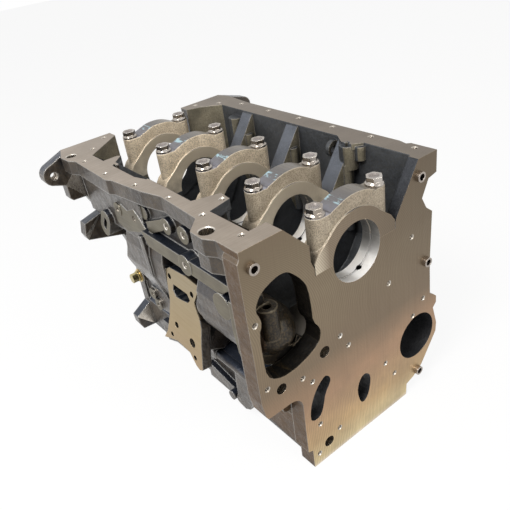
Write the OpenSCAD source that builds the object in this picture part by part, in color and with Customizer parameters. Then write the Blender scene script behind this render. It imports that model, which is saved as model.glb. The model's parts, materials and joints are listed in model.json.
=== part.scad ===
// Four-cylinder in-line engine block, standing on its head face with the sump rail up.
// X runs along the crankshaft towards the timing end, Z points from the head face to the sump rail,
// and the origin lies on the head face, midway along the row of cylinders.

/* [Cylinders] */
// Distance between neighbouring cylinder axes
bore_pitch = 100; // [97:1:106]
// Diameter of a cylinder
cylinder_bore = 91; // [84:1:93]
// Length of a cylinder wall, from the head face
barrel_length = 150; // [140:1:156]
// Thickness of a barrel's wall where the coolant passes
barrel_wall = 7; // [5:0.5:8]
// Width of the coolant jacket beside a barrel
jacket_width = 12; // [9:1:14]
// Depth of the coolant jacket
jacket_depth = 104; // [80:1:112]
// Thickness of the deck under the cylinder head
deck_thickness = 14; // [10:1:18]

/* [Heights] */
// Height of the crank axis above the head face
crank_z = 270; // [262:1:280]
// Height of the sump rail above the crank axis
skirt_height = 70; // [66:1:78]
// Thickness of the sump rail
rail_thickness = 20; // [16:1:24]

/* [Widths] */
// Crank plane to the outer edge of the rail on the accessory side, at the timing end
near_rail = 149; // [147:1:154]
// Crank plane to the outer edge of the rail on the plain side
far_rail = 133; // [131:1:140]
// Crank plane to the machined faces on the accessory side
side_face = 138; // [135:1:141]
// Crank plane to the edge of the deck on the accessory side
deck_near = 84; // [82:1:88]
// Crank plane to the edge of the deck on the plain side
deck_far = 80; // [78:1:84]
// Thickness of the crankcase wall
skirt_wall = 9; // [7:0.5:11]

/* [Ends] */
// First main bearing to the timing face
front_overhang = 13; // [12:0.5:16]
// Last main bearing to the flywheel face
rear_overhang = 18; // [16:1:24]
// Thickness of the timing-end plate
plate_thickness = 24; // [20:1:27]
// Thickness of the flywheel-end flange
flange_thickness = 17; // [14:1:20]

/* [Main bearings] */
// Diameter of the main bearing housing
main_bore = 72; // [66:0.5:76]
// Length of a main bearing housing
bearing_width = 26; // [24:1:28]
// Thickness of a bulkhead between two crank bays
web = 22; // [18:1:24]
// Distance between the two bolts of a cap
bolt_spacing = 87.4; // [86.6:0.2:92]
// Diameter of a cap bolt
bolt_size = 12; // [11:0.5:13]
// Length of a cap bolt under its flange
bolt_length = 104; // [96:1:112]
// Width across the flats of a cap bolt's head
bolt_flats = 17; // [15:0.5:18]
// Height of a cap bolt's head with its flange
bolt_head = 10; // [8:0.5:10.5]
// Diameter of a cap bolt's flange
bolt_flange = 21.5; // [20:0.5:22]
// Half the width of a cap's foot
cap_half = 61; // [60:0.5:64]
// Height of a cap bolt's seat above the crank axis
cap_seat = 59; // [56:0.5:59.5]
// Height of a cap's crown above the crank axis
cap_crown = 68; // [66:0.5:70]
// How far a cap's machined ring stands out of its cast face
cap_relief = 2; // [1:0.25:2]
// Width of the oil groove of a bearing housing
groove_width = 3; // [2:0.5:6]
// Depth of the oil groove of a bearing housing
groove_depth = 1; // [0.5:0.25:2]

/* [Holes] */
// Diameter of a drilled sump-rail hole
rail_hole = 5.6; // [5:0.2:8.4]
// Distance between sump-rail holes
rail_step = 66; // [62:1:68]
// Diameter of a tapped hole in the timing face
face_hole = 5.2; // [5:0.2:8.4]
// Width of the countersink at the mouth of a tapped hole
sink = 1.1; // [0.6:0.1:1.6]
// Depth of a tapped hole
tap_depth = 18; // [12:1:22]
// Diameter of a head-bolt hole
head_hole = 11; // [9:0.5:13]
// Distance of the head-bolt holes from the crank plane
head_hole_y = 54; // [52:0.5:58]
// Outer diameter of a hollow dowel
dowel_size = 12.5; // [12:0.5:15]
// Wall of a hollow dowel
dowel_wall = 2.2; // [1.6:0.2:2.8]
// How far a hollow dowel stands out of its face
dowel_stand = 4.5; // [4:0.5:8]
// Diameter of a core plug
core_plug = 40; // [34:1:44]

/* [Drain] */
// Diameter of the drain plug's washer
drain_washer_size = 22; // [20:1:24]
// Width across the flats of the drain plug
drain_flats = 14; // [12:1:16]

/* [Hidden] */
$fn = 48;
// Small overlap of a cutter past the face that it opens
eps = 1;
// Radial clearance of a bolt in its hole and of a plug or dowel in its seat
bolt_clear = 0.4;
seat_clear = 0.05;
rail_z = crank_z + skirt_height;
rail_under = rail_z - rail_thickness;
front_x = 2 * bore_pitch + front_overhang;
rear_x = -2 * bore_pitch - rear_overhang;
plate_x = front_x - plate_thickness;
flange_x = rear_x + flange_thickness;
cap_bolt_y = bolt_spacing / 2;
seat_z = crank_z + cap_seat;
bore_r = cylinder_bore / 2;
barrel_r = bore_r + barrel_wall;
jacket_y = barrel_r + jacket_width;
main_r = main_bore / 2;
ring_r = main_r + 15;
near_in = near_rail - 31;
far_in = far_rail - 28;
side_in = side_face - skirt_wall;
// Wall of the crankcase below the rail, on each side
near_wall = near_in + 6;
rear_wall = near_in + 14;
far_wall = far_in + 12;
tap_r = face_hole / 2;
cap_reach = bearing_width / 2;
cap_end = cap_bolt_y + cap_reach - cap_relief;
// Side chamber on the accessory side: its ends, its underside and its machined ledge
chamber_front = plate_x - 14;
chamber_rear = -1.1 * bore_pitch;
chamber_low = crank_z - 75;
ledge_top = crank_z + 5;
ledge_height = 18;
ledge_low = ledge_top - ledge_height;
// Oil gallery tube along the accessory side, and the bosses on its wall
gallery_z = 97;
gallery_y = deck_near + 20;
gallery_r = 7.5;
drain_x = -bore_pitch * 2 + 22;
drain_z = 118;
drain_y = deck_near + 12;
// Filter pad, with the tilt of its face
pad_tilt = 8;
pad_y = side_face - 8;
pad_z = crank_z - 70;
// Ears of the flywheel flange
ear_y = 169;
ear_z = rail_z - 26;
ear_r = 13;
timing_dowels = [
    [-near_rail + 12, rail_z - 22], [102, rail_z - 21], [117, crank_z - 71], [103, 30]
];
timing_taps = [
    [-near_rail + 5, crank_z - 16], [-34, crank_z - 96], [-22, crank_z - 117], [90, crank_z - 24],
    [49, crank_z - 68], [93, crank_z - 142], [40, 83], [57, 55], [-94, 150], [-81, 136],
    [-76, 64], [-46, 34], [-near_rail + 7, 168], [-82, 17], [113, 145]
];
near_hole_y = [near_rail - 22, near_rail - 22, near_rail - 21, near_rail - 14, near_rail - 7, near_rail - 8];
core_plug_z = 62;
// Hollow dowels round two of the head bolts
deck_dowel_size = head_hole + 2 * dowel_wall + bolt_clear;
deck_dowel_depth = 9;
// Direction of the oil ways from the crank axis, turned from straight up
oil_angle = -157;

// Axis of main bearing i, counted from the timing end, and of cylinder i
function main_x(i) = (2 - i) * bore_pitch;
function cylinder_x(i) = (1.5 - i) * bore_pitch;
// Points of an arc about a centre
function arc(cx, cy, r, a0, a1, n = 6) =
    [for (i = [0:n]) [cx + r * cos(a0 + (a1 - a0) * i / n), cy + r * sin(a0 + (a1 - a0) * i / n)]];
// Cuts each corner of a closed outline at a share of its sides, n times over
function soften(pts, n = 1, share = 0.28) =
    n == 0 ? pts :
    soften([for (i = [0:len(pts) - 1], s = [0, 1])
        let (p = pts[i], q = pts[(i + 1) % len(pts)])
        s == 0 ? p + (q - p) * share : q - (q - p) * share], n - 1, share);

// Holes with a countersunk mouth, drilled into a face that looks along +X, +Z or -Y
module tap_x(x, y, z, r, depth) {
    bar_x(x - depth, x + eps, y, z, r);
    translate([x + eps, y, z]) rotate([0, -90, 0]) cylinder(h = sink + eps, r1 = r + sink + eps, r2 = r);
}
module tap_z(z, x, y, r, depth) {
    bar_z(z - depth, z + eps, x, y, r);
    translate([x, y, z - sink]) cylinder(h = sink + eps, r1 = r, r2 = r + sink + eps);
}
module tap_y(y, x, z, r, depth) {
    bar_y(y - eps, y + depth, x, z, r);
    translate([x, y - eps, z]) rotate([-90, 0, 0]) cylinder(h = sink + eps, r1 = r + sink + eps, r2 = r);
}

// Extrudes an outline drawn in Y and Z along X, in X and Z along Y, or in X and Y along Z
module along_x(x0, x1) {
    translate([x0, 0, 0]) rotate([90, 0, 90]) linear_extrude(x1 - x0) children();
}
module along_y(y0, y1) {
    translate([0, y1, 0]) rotate([90, 0, 0]) linear_extrude(y1 - y0) children();
}
module along_z(z0, z1) {
    translate([0, 0, z0]) linear_extrude(z1 - z0) children();
}
// Round bars along each axis, from one end to the other
module bar_x(x0, x1, y, z, r) {
    translate([x0, y, z]) rotate([0, 90, 0]) cylinder(h = x1 - x0, r = r);
}
module bar_y(y0, y1, x, z, r) {
    translate([x, y0, z]) rotate([-90, 0, 0]) cylinder(h = y1 - y0, r = r);
}
module bar_z(z0, z1, x, y, r) {
    translate([x, y, z0]) cylinder(h = z1 - z0, r = r);
}

// Outline of the timing face, in Y and Z
module timing_outline() {
    polygon(concat(
        [
            [-near_rail, rail_z], [-near_rail, rail_z - 8], [-near_rail - 3, rail_z - 12],
            [-near_rail - 3, 152], [-near_rail, 131], [-near_rail + 3, 127]
        ],
        arc(-114, 111, 16, 90, 0, 4),
        [
            [-99, 33], [-92, 30], [-92, 0], [deck_far, 0], [deck_far + 1, 18], [96, 23], [112, 34],
            [141, 75], [142, 89], [134, 118], [140, 124], [140, 134], [134, 140], [127, 145],
            [125, crank_z - 76], [127, crank_z - 5], [116, crank_z + 4], [108, crank_z + 19],
            [119, crank_z + 40], [far_rail, crank_z + 43], [far_rail, rail_z]
        ]
    ));
}

// Large cast opening of the timing face
module timing_opening() {
    polygon(soften([
        [-104, crank_z + 25], [-96, crank_z + 23], [-88, crank_z + 15], [-79, crank_z + 4],
        [-73, crank_z - 9], [-71, crank_z - 37], [-71, crank_z - 54], [-62, crank_z - 67],
        [-62, crank_z - 78], [-67, crank_z - 88], [-90, crank_z - 98], [-112, crank_z - 101],
        [-near_rail + 20, crank_z - 97], [-near_rail + 9, crank_z - 86], [-near_rail + 8, crank_z - 62],
        [-near_rail + 8, crank_z - 29], [-near_rail + 13, crank_z - 20], [-near_rail + 12, crank_z - 10],
        [-near_rail + 8, crank_z - 1], [-near_rail + 11, crank_z + 8], [-near_rail + 18, crank_z + 17],
        [-near_rail + 35, crank_z + 24]
    ], 1));
}

// Curved coolant slots of the timing face
module coolant_slot_near() {
    polygon(soften([
        [-58, 130], [-54, 124], [-55, 117], [-64, 106], [-68, 90], [-73, 78], [-80, 75], [-87, 77],
        [-90, 83], [-88, 98], [-84, 109], [-77, 121], [-67, 130], [-62, 132]
    ], 1));
}
module coolant_slot_far() {
    polygon(soften([
        [7, 89], [12, 82], [11, 68], [7, 54], [1, 47], [-5, 47], [-9, 54], [-12, 70], [-10, 81],
        [-5, 89], [1, 92]
    ], 1));
}

// Outer edge of the sump rail
module rail_outline() {
    polygon([
        [front_x, -near_rail], [front_x - 36, -near_rail], [front_x - 49, -near_rail - 6.5],
        [front_x - 70, -near_rail - 6], [front_x - 89, -near_rail + 13], [46, -near_rail + 17],
        [12, -near_rail + 9], [-48, -near_rail + 2], [-56, -near_rail - 2],
        [rear_x + 65, -near_rail], [rear_x + 54, -near_rail - 6], [rear_x + 32, -near_rail - 7],
        [rear_x, -near_rail + 5], [rear_x, -92], [rear_x + 5, -86], [rear_x + 5, 74],
        [rear_x, 84], [rear_x, far_rail], [rear_x + 20, far_rail + 6], [rear_x + 82, far_rail],
        [front_x - 52, far_rail - 1], [front_x - 40, far_rail - 4], [front_x - 36, far_rail],
        [front_x, far_rail]
    ]);
}

// Inner edge of the sump rail
module rail_opening() {
    polygon([
        [plate_x, -near_in], [main_x(1) + 20, -near_in], [main_x(2) + 41, -near_in + 2],
        [main_x(2) - 3, -near_in + 2], [main_x(2) - 31, -near_in - 6], [rear_x + 65, -near_in - 6],
        [flange_x + 1, -cap_half - 5], [flange_x + 1, cap_half - 2], [rear_x + 27, 79],
        [rear_x + 51, far_in], [plate_x + 10, far_in], [plate_x + 10, 0], [plate_x, 0]
    ]);
}

// Solid of the barrels, the deck and the crankcase, before its hollows are cut
module crankcase_solid() {
    // Towards the timing end
    along_x(main_x(2) - 32, plate_x + eps) polygon([
        [-deck_near, 0], [-deck_near, 52], [-deck_near + 5, 56], [-deck_near + 5, 142],
        [-deck_near, crank_z - 83], [-105, crank_z - 58], [-near_wall, crank_z - 24],
        [-near_wall, rail_under + eps], [far_wall, rail_under + eps], [far_wall, crank_z - 92],
        [deck_far, 150], [deck_far, 0]
    ]);
    // Towards the flywheel end, where it is wider
    along_x(flange_x - eps, main_x(2) - 26) polygon([
        [-deck_near, 0], [-deck_near, 52], [-deck_near + 5, 56], [-deck_near + 5, 142],
        [-deck_near, crank_z - 83], [-105, crank_z - 58], [-rear_wall + 3, crank_z - 24],
        [-rear_wall, rail_under + eps], [far_wall, rail_under + eps], [far_wall, crank_z - 92],
        [deck_far, 150], [deck_far, 0]
    ]);
    // Foot beside the deck at the flywheel end
    along_y(-deck_near - 11, -deck_near + 6) polygon([
        [main_x(4) + 62, 48], [main_x(4) + 62, 22], [main_x(4) + 69, 10], [main_x(4) + 100, 22],
        [main_x(4) + 128, 24], [main_x(4) + 138, 48]
    ]);
}

// Chamber wall on the accessory side, with its rounded underside
module chamber_solid() {
    // Belly, which narrows towards the deck
    intersection() {
        along_x(chamber_rear - 10, main_x(2) - 2) polygon([
            [-near_wall + 8, ledge_low + 8], [-side_face + 13, ledge_low + 8], [-side_face + 13, ledge_low - 4],
            [-side_face + 8, chamber_low + 34], [-side_face + 8, chamber_low + 2],
            [-side_face + 11, chamber_low - 10], [-side_face + 18, chamber_low - 30],
            [-side_face + 26, chamber_low - 55], [-side_face + 34, chamber_low - 75],
            [-side_face + 46, chamber_low - 87], [-deck_near + 6, chamber_low - 92]
        ]);
        along_y(-side_face - eps, -deck_near + 10) polygon([
            [chamber_rear + 18, ledge_top], [chamber_rear + 6, chamber_low + 22],
            [chamber_rear - 7, chamber_low - 2], [chamber_rear + 2, chamber_low - 18],
            [chamber_rear + 24, chamber_low - 30], [chamber_rear + 34, chamber_low - 50],
            [chamber_rear + 38, chamber_low - 92], [main_x(2) - 2, chamber_low - 92],
            [main_x(2) - 2, ledge_top]
        ]);
    }
    // Wall towards the timing end, rounded at its underside
    along_x(main_x(1) - 15, chamber_front + 12) polygon(concat(
        [
            [-near_wall + 8, ledge_low + 8], [-side_face + 13, ledge_low + 8],
            [-side_face + 13, ledge_low - 4], [-side_face + 4, chamber_low + 36],
            [-side_face + 4, chamber_low + 6]
        ],
        arc(-side_face + 38, chamber_low + 4, 34, 180, 250, 5),
        [[-deck_near + 6, chamber_low - 40], [-deck_near + 6, ledge_low]]
    ));
    // Gusset behind the edge of the timing plate
    along_y(-near_rail + 6, -side_in + 4) polygon([
        [chamber_front - 7, ledge_low + 4], [chamber_front - 8, crank_z - 50],
        [chamber_front - 4, crank_z - 76], [chamber_front + 8, crank_z - 102], [plate_x + eps, 132],
        [plate_x + eps, ledge_low + 4]
    ]);
}

// Rail on both sides and across the flywheel end
module sump_rail() {
    along_z(rail_under, rail_z) rail_outline();
    // Thickening round the through hole near the timing end
    along_z(rail_under - 22, rail_under + eps) polygon([
        [front_x - 36, -near_wall + 4], [front_x - 36, -near_rail + 4], [front_x - 49, -near_rail - 3],
        [front_x - 69, -near_rail - 3], [front_x - 84, -near_wall + 4]
    ]);
}

// Lugs that stand inside the crankcase at the bulkheads
module inner_lugs() {
    // Accessory side
    along_z(rail_z - 13, rail_z) polygon([
        [main_x(1) - 16, -near_in - 4], [main_x(1) - 3, -near_in + 33], [main_x(1) + 16, -near_in + 31],
        [main_x(1) + 24, -near_in - 4]
    ]);
    bar_z(crank_z - 60, rail_z - 6, main_x(1) + 5, -near_in + 20, 12);
    along_x(main_x(1) - 14, main_x(1) + 16) polygon([
        [-near_in - 4, rail_z - 12], [-near_in + 30, rail_z - 12], [-near_in + 22, rail_z - 36],
        [-near_in + 4, rail_z - 60], [-near_in - 4, rail_z - 60]
    ]);
    along_z(rail_z - 10, rail_z) polygon([
        [main_x(3) - 18, -near_in - 8], [main_x(3) - 18, -near_in + 14], [main_x(3) - 14, -near_in + 18],
        [main_x(3) + 11, -near_in - 8]
    ]);
    bar_z(crank_z - 60, rail_z - 4, main_x(3) - 8, -near_in + 8, 7);
    // Plain side
    along_z(rail_z - 8, rail_z) polygon([
        [main_x(1) - 18, far_in + 2], [main_x(1) + 3, far_in - 12], [main_x(1) + 20, far_in - 12],
        [main_x(1) + 30, far_in + 2]
    ]);
    bar_z(rail_z - 35, rail_z - 4, main_x(1) + 9, far_in - 6, 12);
    bar_z(rail_z - 22, rail_z - 4, main_x(1) + 25, far_in - 2, 7);
    bar_z(crank_z - 50, rail_z - 10, main_x(3) - 25, far_in - 5, 12);
    for (i = [1:3]) bar_z(crank_z - 50, rail_z - 28, main_x(i) + web / 2 - 1, far_in - 12, 6.5);
    along_x(main_x(1) - 22, main_x(1) - 16) difference() {
        translate([far_in - 5, rail_z - 16]) circle(r = 11);
        translate([far_in - 7, rail_z - 17]) circle(r = 5);
    }
}

// Hollow of one crank bay: wide beside the crank, narrow above the barrels
module bay_outline() {
    polygon([
        [-near_rail, rail_z + eps], [-near_rail, crank_z - 4], [-near_rail + 42, crank_z - 46],
        [-76, crank_z - 82], [-bore_r - 9, barrel_length + 8], [-bore_r, barrel_length - eps],
        [bore_r, barrel_length - eps], [bore_r + 9, barrel_length + 8], [far_in - 22, crank_z - 92],
        [far_in, crank_z - 60], [far_in, rail_z + eps]
    ]);
}
// All the crank bays as one hollow
module crankcase_hollow() {
    intersection() {
        along_x(flange_x, plate_x + 10) bay_outline();
        along_z(barrel_length - eps, rail_z + eps) rail_opening();
    }
}
// Hollow of the side chamber behind the opening of the timing face
module chamber_hollow() {
    along_x(main_x(1) - 7, plate_x + eps) polygon([
        [-near_in + 4, ledge_top - 6], [-side_in + 4, ledge_low + 1], [-side_in + 4, chamber_low + 6],
        [-side_in + 22, chamber_low - 12], [-80, chamber_low - 18], [-70, chamber_low + 4]
    ]);
}

// Outline of a bulkhead whose top slopes up to the rail on both sides
module bulkhead_outline() {
    polygon([
        [-near_wall + 4, rail_z], [-near_in + 2, rail_z], [-cap_half - 5, crank_z + 21],
        [-cap_half - 1, crank_z + 13], [-cap_half - 1, crank_z], [cap_half + 1, crank_z],
        [cap_half + 1, crank_z + 10], [cap_half + 3, crank_z + 14], [far_in - 2, rail_z - 2],
        [far_wall - 4, rail_z - 2], [far_wall - 4, crank_z - 88], [60, 150], [60, 130], [-60, 130],
        [-60, 150], [-deck_near + 4, crank_z - 84], [-103, crank_z - 54], [-near_wall + 4, crank_z - 22]
    ]);
}

// Clearance over the caps, between the sloping edges of a bulkhead
module cap_valley(x0, x1, near_top, far_top) {
    along_x(x0, x1) polygon([
        [-cap_half - 1, crank_z], [-cap_half - 1, crank_z + 9], [-cap_half - 5, crank_z + 19],
        [-cap_half - 5, crank_z + 38], [-near_top, rail_z + 0.5], [-near_top, rail_z + eps + 1],
        [far_top, rail_z + eps + 1], [far_top, rail_z + 0.5], [cap_half + 3, crank_z + 14],
        [cap_half + 1, crank_z + 9], [cap_half + 1, crank_z]
    ]);
}

// Front plate, thicker round the first bearing
module timing_plate() {
    along_x(plate_x, front_x) timing_outline();
    // Cup behind the large round hole
    bar_x(plate_x - 34, plate_x + eps, 101, 91, 38);
}

// Flywheel-end flange with its ears, lugs and lower feet
module flywheel_flange() {
    along_x(rear_x, flange_x) polygon(concat(
        [[-near_rail + 5, rail_z]],
        arc(-ear_y, ear_z, ear_r + 2, 118, 262, 7),
        [
            [-157, rail_z - 46], [-157, crank_z + 3], [-153, crank_z - 1], [-133, crank_z - 2],
            [-118, crank_z - 35], [-149, crank_z - 43], [-153, crank_z - 61], [-150, crank_z - 70],
            [-94, crank_z - 85], [-deck_near, 150], [-deck_near, 46], [-112, 29], [-111, 14],
            [-106, 2], [-80, 0], [80, 0], [106, 2], [111, 14], [112, 29], [deck_far, 46],
            [deck_far, 150], [94, crank_z - 85], [150, crank_z - 70], [153, crank_z - 61],
            [149, crank_z - 43], [118, crank_z - 35], [133, crank_z - 2], [153, crank_z - 1],
            [157, crank_z + 3], [157, rail_z - 46]
        ],
        arc(ear_y, ear_z, ear_r + 2, -82, 62, 7),
        [[far_rail, rail_z]]
    ));
}

// Round boss on the accessory side with its flat face at side distance y
module side_boss(x, z, r, y) {
    bar_y(-y, max(-near_wall + 6, -y + 26), x, z, r);
}

// Machined ledge, bosses, pads and tube of the accessory side
module accessory_side() {
    // Machined ledge over the chamber
    along_y(-side_face, -near_wall + 4) polygon([
        [main_x(2) - 20, ledge_top], [chamber_front - 3, ledge_top], [chamber_front - 28, ledge_low],
        [main_x(2) - 8, ledge_low]
    ]);
    side_boss(main_x(1) - 20, ledge_top - 9, 13, side_face + 1);
    side_boss(main_x(2) + 40, crank_z + 29, 10.5, side_face - 6);
    side_boss(main_x(1) - 22, crank_z + 31, 11, side_face - 6);
    // Blocks between the ledge and the rail
    along_y(-side_face + 6, -near_wall + 4) polygon([
        [main_x(2) - 12, crank_z + 18], [main_x(2) - 10, crank_z + 2], [main_x(2) + 30, crank_z + 20],
        [main_x(2) + 34, crank_z + 30], [main_x(2) + 30, crank_z + 35]
    ]);
    side_boss(main_x(2) - 21, crank_z + 26, 9, side_face - 9);
    side_boss(main_x(3) + 7, crank_z + 10, 10, side_face - 5);
    along_y(-side_face + 6, -near_wall + 4) polygon([
        [main_x(3) + 36, crank_z + 16], [main_x(3) + 57, crank_z + 25], [main_x(3) + 72, crank_z + 12],
        [main_x(3) + 81, crank_z + 4], [main_x(3) + 79, crank_z - 1], [main_x(3) + 20, crank_z - 19],
        [main_x(3) - 6, crank_z - 13], [main_x(3) - 8, crank_z + 1], [main_x(3) + 3, crank_z + 13],
        [main_x(3) + 19, crank_z + 21]
    ]);
    // Slotted flange near the flywheel end
    along_y(-side_face, -near_wall + 10) polygon(concat(
        arc(main_x(3) - 36, crank_z - 16, 12, -28, 152, 8),
        arc(main_x(3) - 49, crank_z - 36, 12, 152, 332, 8)
    ));
    // Flat round pad on the chamber wall
    side_boss(main_x(1) + 47, crank_z - 28, 16, side_face + 1.5);
    filter_pad();
    // Rib down the belly, from the ledge to the screw bosses
    along_x(main_x(3) + 58, main_x(3) + 66) polygon([
        [-side_face + 3, ledge_low + 2], [-side_face + 5, chamber_low + 4], [-side_face + 18, chamber_low - 40],
        [-side_face + 34, chamber_low - 66], [-side_face + 50, chamber_low - 66], [-side_face + 50, ledge_low + 2]
    ]);
    // Screw bosses beside the filter pad, on one foot
    side_boss(main_x(3) + 14, 138, 9, side_face - 18);
    side_boss(main_x(3) + 26, 124, 9, side_face - 18);
    along_y(-side_face + 22, -deck_near + 6) polygon([
        [main_x(3) + 8, 148], [main_x(3) + 62, 152], [main_x(3) + 48, 118], [main_x(3) + 20, 114]
    ]);
    bar_z(84, 134, main_x(3) + 44, -deck_near - 14, 9);
    // Gallery tube, its web and the bracket at its end
    bar_x(main_x(2) + 44, plate_x + eps, -gallery_y, gallery_z, gallery_r);
    along_x(main_x(2) + 50, plate_x + eps) polygon([
        [-gallery_y, gallery_z + gallery_r - 1], [-gallery_y, gallery_z - gallery_r + 1],
        [-deck_near + 6, gallery_z - gallery_r - 2], [-deck_near + 6, gallery_z + gallery_r + 6]
    ]);
    along_x(main_x(2) + 34, main_x(2) + 52) polygon([
        [-gallery_y - 10, gallery_z + 12], [-gallery_y - 8, gallery_z - 6], [-deck_near + 6, gallery_z - 18],
        [-deck_near + 6, gallery_z + 30], [-gallery_y - 10, gallery_z + 30]
    ]);
    // Upright foot below the gallery
    along_y(-deck_near - 20, -deck_near + 6) polygon(concat(
        [[main_x(1) - 18, gallery_z], [main_x(1) - 22, 40]],
        arc(main_x(1) - 20, 30, 7, 180, 270, 3),
        [[main_x(1) - 8, 21], [main_x(1) + 4, 28], [main_x(1) + 12, 44], [main_x(1) + 12, gallery_z]]
    ));
    bar_y(-deck_near - 22, -deck_near + 6, main_x(1) - 36, 28, 7);
    along_y(-deck_near - 9, -deck_near + 6) polygon([
        [main_x(2) - 12, 8], [main_x(1) - 30, 8], [main_x(1) - 30, 20], [main_x(2) - 12, 34]
    ]);
    // Boss round the drain hole
    bar_y(-drain_y, -deck_near + 8, drain_x, drain_z, drain_washer_size / 2 + 1);
}

// Tilted pad with its rounded foot
module filter_pad() {
    tilted() along_y(-pad_y, -pad_y + 14) polygon([
        [main_x(2) - 2, pad_z + 20], [main_x(2) + 8, pad_z + 27], [main_x(2) + 45, pad_z + 30],
        [main_x(2) + 73, pad_z + 28], [main_x(2) + 75, pad_z + 23], [main_x(2) + 63, pad_z],
        [main_x(2) + 66, pad_z - 8], [main_x(2) + 73, pad_z - 20], [main_x(2) + 75, pad_z - 33],
        [main_x(2) + 72, pad_z - 57], [main_x(2) + 71, pad_z - 97], [main_x(2) + 64, pad_z - 100],
        [main_x(2) + 56, pad_z - 97], [main_x(2) + 42, pad_z - 84], [main_x(2) + 12, pad_z - 82],
        [main_x(2) - 10, pad_z - 89], [main_x(2) - 24, pad_z - 94], [main_x(2) - 13, pad_z - 78],
        [main_x(2) - 3, pad_z - 49], [main_x(2) + 2, pad_z - 24], [main_x(2), pad_z]
    ]);
    // Foot that carries the pad
    along_x(main_x(2) - 8, main_x(2) + 58) polygon([
        [-pad_y + 6, pad_z + 10], [-pad_y - 2, pad_z - 78], [-deck_near - 16, pad_z - 94],
        [-deck_near + 6, pad_z - 84], [-deck_near + 6, pad_z - 40], [-pad_y + 20, pad_z + 10]
    ]);
}
// Turns the filter pad's outline and its holes to the tilt of the pad
module tilted() {
    translate([0, -pad_y, pad_z]) rotate([-pad_tilt, 0, 0]) translate([0, pad_y, -pad_z]) children();
}

// Ribs and bosses of the plain side
module plain_side() {
    for (i = [1:3]) along_x(main_x(i) - 5, main_x(i) + 5) polygon([
        [deck_far - 4, 60], [deck_far + 8, 70], [deck_far + 12, 140], [far_wall + 6, crank_z - 80],
        [far_wall + 6, rail_under], [far_wall - 4, rail_under + eps], [far_wall - 4, crank_z - 90],
        [deck_far - 4, 148]
    ]);
    for (i = [0:2]) bar_y(deck_far - 4, deck_far + 5, main_x(i + 1) + bore_pitch / 2, core_plug_z, core_plug / 2 + 5);
    // Mount bosses
    for (x = [main_x(1) + 30, main_x(2) + 22], z = [crank_z - 30, crank_z + 26])
        bar_y(far_wall - 4, far_wall + 12, x, z, 14);
}

// Raised rings and saddles of the bearings, below the crank axis
module saddles() {
    for (i = [0:4]) along_x(main_x(i) - cap_reach, main_x(i) + cap_reach) polygon([
        [-cap_half, crank_z], [-cap_half, crank_z - 18], [-ring_r + 8, crank_z - ring_r + 4],
        [-22, crank_z - ring_r - 6], [22, crank_z - ring_r - 6], [ring_r - 8, crank_z - ring_r + 4],
        [cap_half, crank_z - 18], [cap_half, crank_z]
    ]);
}
// Web and saddle of the last bearing, in front of the flywheel flange
module rear_bulkhead() {
    along_x(flange_x - eps, main_x(4) + 12) polygon([
        [-cap_half - 4, crank_z + 6], [-cap_half - 1, crank_z], [cap_half + 1, crank_z],
        [cap_half + 4, crank_z + 6], [92, crank_z - 50], [60, 150], [60, 130], [-60, 130],
        [-60, 150], [-92, crank_z - 54]
    ]);
}

// Rounded castings inside the front opening
module opening_castings() {
    for (y = [-106, -99]) translate([0, y, crank_z - 66]) rotate([0, 90, 0]) {
        translate([0, 0, plate_x - 110]) cylinder(h = 93, r = 29);
        translate([0, 0, plate_x - 17]) cylinder(h = 12, r1 = 29, r2 = 25.5);
        translate([0, 0, plate_x - 5]) cylinder(h = 10, r1 = 25.5, r2 = 19);
        translate([0, 0, plate_x + 5]) cylinder(h = 6, r1 = 19, r2 = 11);
        translate([0, 0, plate_x + 11]) cylinder(h = 3, r1 = 11, r2 = 4);
    }
    bar_z(crank_z - 60, crank_z - 21, plate_x + 1, -112, 12);
    // Web that joins the ring boss to the wall
    along_x(plate_x - 9, plate_x - 3) polygon([
        [-125, crank_z - 34], [-125, crank_z - 8], [-111, crank_z - 8], [-110.5, crank_z - 18],
        [-104, crank_z - 21], [-104, crank_z - 34]
    ]);
    along_y(-126, -120) polygon([
        [plate_x - 40, crank_z - 40], [plate_x - 2, crank_z - 40], [plate_x - 2, crank_z + 14],
        [plate_x - 40, crank_z + 14]
    ]);
}

// Coolant jacket between the barrels and the outer wall
module coolant_jacket() {
    along_z(deck_thickness, deck_thickness + jacket_depth) difference() {
        translate([main_x(4) + 22, -jacket_y]) square([4 * bore_pitch - 44, 2 * jacket_y]);
        for (i = [0:3]) translate([cylinder_x(i), 0]) circle(r = barrel_r);
        for (i = [1:3]) translate([main_x(i) - 8, -jacket_y - eps]) square([16, 2 * jacket_y + 2 * eps]);
    }
}

// Holes and slots of the timing face
module timing_cuts() {
    tap_z(crank_z - 21, plate_x + 1, -112, 4.6, 19);
    along_x(front_x - 40, front_x + eps) coolant_slot_near();
    along_x(front_x - 40, front_x + eps) coolant_slot_far();
    bar_x(front_x - 38, front_x + eps, 101, 91, 33);
    for (p = timing_dowels) bar_x(front_x - 10, front_x + eps, p[0], p[1], dowel_size / 2 + seat_clear);
    for (p = timing_taps) tap_x(front_x, p[0], p[1], tap_r, tap_depth);
    for (p = [[-59, 166], [-65, 25]]) bar_x(front_x - tap_depth, front_x + eps, p[0], p[1], 7.5);
    bar_x(front_x - tap_depth, front_x + eps, -124, 156, 6.8);
}

// Holes of the deck: head bolts, dowels and coolant ways
module deck_cuts() {
    for (i = [0:4], s = [-1, 1]) bar_z(-eps, 72, main_x(i) * 0.99, s * head_hole_y, head_hole / 2);
    for (x = [main_x(0), main_x(4)]) bar_z(-eps, deck_dowel_depth, 0.99 * x, -head_hole_y,
        deck_dowel_size / 2 + seat_clear);
    for (i = [0:3], s = [-1, 1]) bar_z(-eps, deck_thickness + eps, cylinder_x(i), s * (barrel_r + 5), 4);
}

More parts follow.
